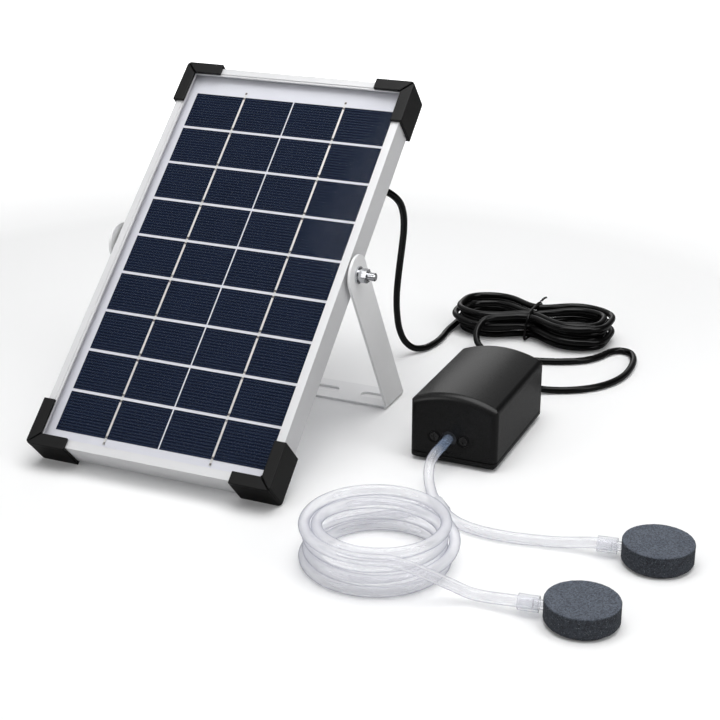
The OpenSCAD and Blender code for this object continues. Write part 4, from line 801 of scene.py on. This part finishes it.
def grit_stone(name, node_name):
    """A sintered disc whose skin is grains and pits of about a millimetre."""
    centre = STONES[node_name]
    rows = grit_profile(STONE_R, STONE_H)
    around = 150
    skin, relief = 0.12, 0.11
    mesh = bmesh.new()
    rings = []
    for r, z in rows:
        ring = []
        for k in range(around):
            a = math.tau * k / around
            p = np.array([r * math.cos(a), r * math.sin(a), z])
            edge = (r / STONE_R) ** 6
            d = np.array([math.cos(a) * edge, math.sin(a) * edge,
                          (z - STONE_H / 2) / (STONE_H / 2)])
            d /= max(np.linalg.norm(d), 1e-6)
            q = Vector(p + centre * 3.7)
            grain = mnoise.noise(q * 1.15) + 0.55 * mnoise.noise(q * 2.6)
            p = p - d * (skin + relief * grain)
            p[2] = max(p[2], 0.0)
            ring.append(mesh.verts.new(tuple((p + [centre[0], centre[1], 0.0]) * MM)))
        rings.append(ring)
    for a, b in zip(rings, rings[1:]):
        for k in range(around):
            n = (k + 1) % around
            mesh.faces.new((a[k], a[n], b[n], b[k]))
    base = mesh.verts.new((centre[0] * MM, centre[1] * MM, 0.0))
    top = mesh.verts.new((centre[0] * MM, centre[1] * MM, (STONE_H - 0.1) * MM))
    for k in range(around):
        n = (k + 1) % around
        mesh.faces.new((rings[0][n], rings[0][k], base))
        mesh.faces.new((rings[-1][k], rings[-1][n], top))
    data = bpy.data.meshes.new(name)
    mesh.to_mesh(data)
    mesh.free()
    data.polygons.foreach_set("use_smooth", [True] * len(data.polygons))
    data.materials.append(M["stone"])
    o = bpy.data.objects.new(name, data)
    bpy.context.scene.collection.objects.link(o)
    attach(o, "stand")
    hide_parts(node_name)


grit_stone("grit_near", "air_stone_near")
grit_stone("grit_far", "air_stone_far")


# ---------------------------------------------------------------- floor and light
def plane(name, size, z):
    mesh = bpy.data.meshes.new(name)
    corners = [(-size, -size, z), (size, -size, z), (size, size, z), (-size, size, z)]
    mesh.from_pydata(corners, [], [(0, 1, 2, 3)])
    o = bpy.data.objects.new(name, mesh)
    bpy.context.scene.collection.objects.link(o)
    return o


# The floor is lit by the lamps. Far from the object it fades to the white of the background,
# and it is darker in mirror-like reflections, so that the black pieces stay black.
FLOOR_HALF, FLOOR_Z = 6.0, -0.0002
FADE_FROM, FADE_TO = 0.40, 1.1
floor = plane("floor", FLOOR_HALF, FLOOR_Z)
m = bpy.data.materials.new("floor")
tree = clear(m)
out = node(tree, "ShaderNodeOutputMaterial")
b = node(tree, "ShaderNodeBsdfPrincipled", Roughness=0.6)
b.inputs["Base Color"].default_value = (0.93, 0.93, 0.93, 1)
b.inputs["Specular IOR Level"].default_value = 0.1
glow = node(tree, "ShaderNodeEmission")
glow.inputs["Color"].default_value = (1, 1, 1, 1)
rays = node(tree, "ShaderNodeLightPath")
seen = node(tree, "ShaderNodeMath", operation="MAXIMUM")
link(tree, rays, "Is Camera Ray", seen, 0)
link(tree, rays, "Is Transmission Ray", seen, 1)
coords = node(tree, "ShaderNodeTexCoord")
span = node(tree, "ShaderNodeVectorMath", operation="LENGTH")
link(tree, coords, "Object", span, 0)
far = ramp(tree, span, "Value", FADE_FROM, FADE_TO, 0.02, 1.0)
level = node(tree, "ShaderNodeMath", operation="MULTIPLY")
link(tree, far, "Result", level, 1)
link(tree, seen, "Value", level, 0)
link(tree, level, "Value", glow, "Strength")
both = node(tree, "ShaderNodeAddShader")
link(tree, b, "BSDF", both, 0)
link(tree, glow, "Emission", both, 1)
dark = node(tree, "ShaderNodeBsdfDiffuse")
dark.inputs["Color"].default_value = (0.28, 0.28, 0.28, 1)
by_ray = node(tree, "ShaderNodeMixShader")
link(tree, rays, "Is Glossy Ray", by_ray, 0)
link(tree, both, "Shader", by_ray, 1)
link(tree, dark, "BSDF", by_ray, 2)
link(tree, by_ray, "Shader", out, "Surface")
floor.data.materials.append(m)

# The surroundings: white to the camera, soft in diffuse light, and graded in reflections
world = bpy.data.worlds.new("world")
bpy.context.scene.world = world
world.use_nodes = True
tree = world.node_tree
tree.nodes.clear()
out = node(tree, "ShaderNodeOutputWorld")
rays = node(tree, "ShaderNodeLightPath")
shown = node(tree, "ShaderNodeBackground", Strength=1.0)
shown.inputs["Color"].default_value = (1, 1, 1, 1)
lit = node(tree, "ShaderNodeBackground", Strength=0.31)
lit.inputs["Color"].default_value = (0.98, 0.99, 1.0, 1)
mirrored = node(tree, "ShaderNodeBackground", Strength=1.0)
coords = node(tree, "ShaderNodeTexCoord")
split = node(tree, "ShaderNodeSeparateXYZ")
link(tree, coords, "Generated", split, "Vector")
sky = node(tree, "ShaderNodeValToRGB")
sky.color_ramp.elements[0].position = 0.05
sky.color_ramp.elements[0].color = (0.10, 0.10, 0.10, 1)
sky.color_ramp.elements[1].position = 0.75
sky.color_ramp.elements[1].color = (0.62, 0.62, 0.62, 1)
link(tree, split, "Z", sky, "Fac")
link(tree, sky, "Color", mirrored, "Color")
across = ramp(tree, split, "X", -0.15, 0.45, 1.0, 0.12)
link(tree, across, "Result", mirrored, "Strength")
by_gloss = node(tree, "ShaderNodeMixShader")
link(tree, rays, "Is Glossy Ray", by_gloss, 0)
link(tree, lit, "Background", by_gloss, 1)
link(tree, mirrored, "Background", by_gloss, 2)
seen = node(tree, "ShaderNodeMath", operation="MAXIMUM")
link(tree, rays, "Is Camera Ray", seen, 0)
link(tree, rays, "Is Transmission Ray", seen, 1)
choose = node(tree, "ShaderNodeMixShader")
link(tree, seen, "Value", choose, 0)
link(tree, by_gloss, "Shader", choose, 1)
link(tree, shown, "Background", choose, 2)
link(tree, choose, "Shader", out, "Surface")


def area_light(name, place, target, size, power):
    data = bpy.data.lights.new(name, "AREA")
    data.shape = "RECTANGLE"
    data.size, data.size_y = size
    data.energy = power
    o = bpy.data.objects.new(name, data)
    o.location = place
    o.rotation_mode = "QUATERNION"
    o.rotation_quaternion = (Vector(target) - Vector(place)).to_track_quat("-Z", "Y")
    bpy.context.scene.collection.objects.link(o)


area_light("top", (0.25, -0.15, 1.5), (0.08, -0.05, 0.05), (1.3, 1.3), 18.3)
area_light("front", (-0.9, -1.3, 0.9), (0.05, -0.08, 0.05), (0.9, 0.7), 4.0)
area_light("side", (1.5, -0.35, 0.8), (0.08, -0.05, 0.05), (0.8, 0.8), 5.0)
area_light("back", (-0.42, 1.10, 0.46), (0.149, -0.03, 0.04), (0.75, 0.34), 0.8)

bpy.context.scene.view_settings.view_transform = "Standard"
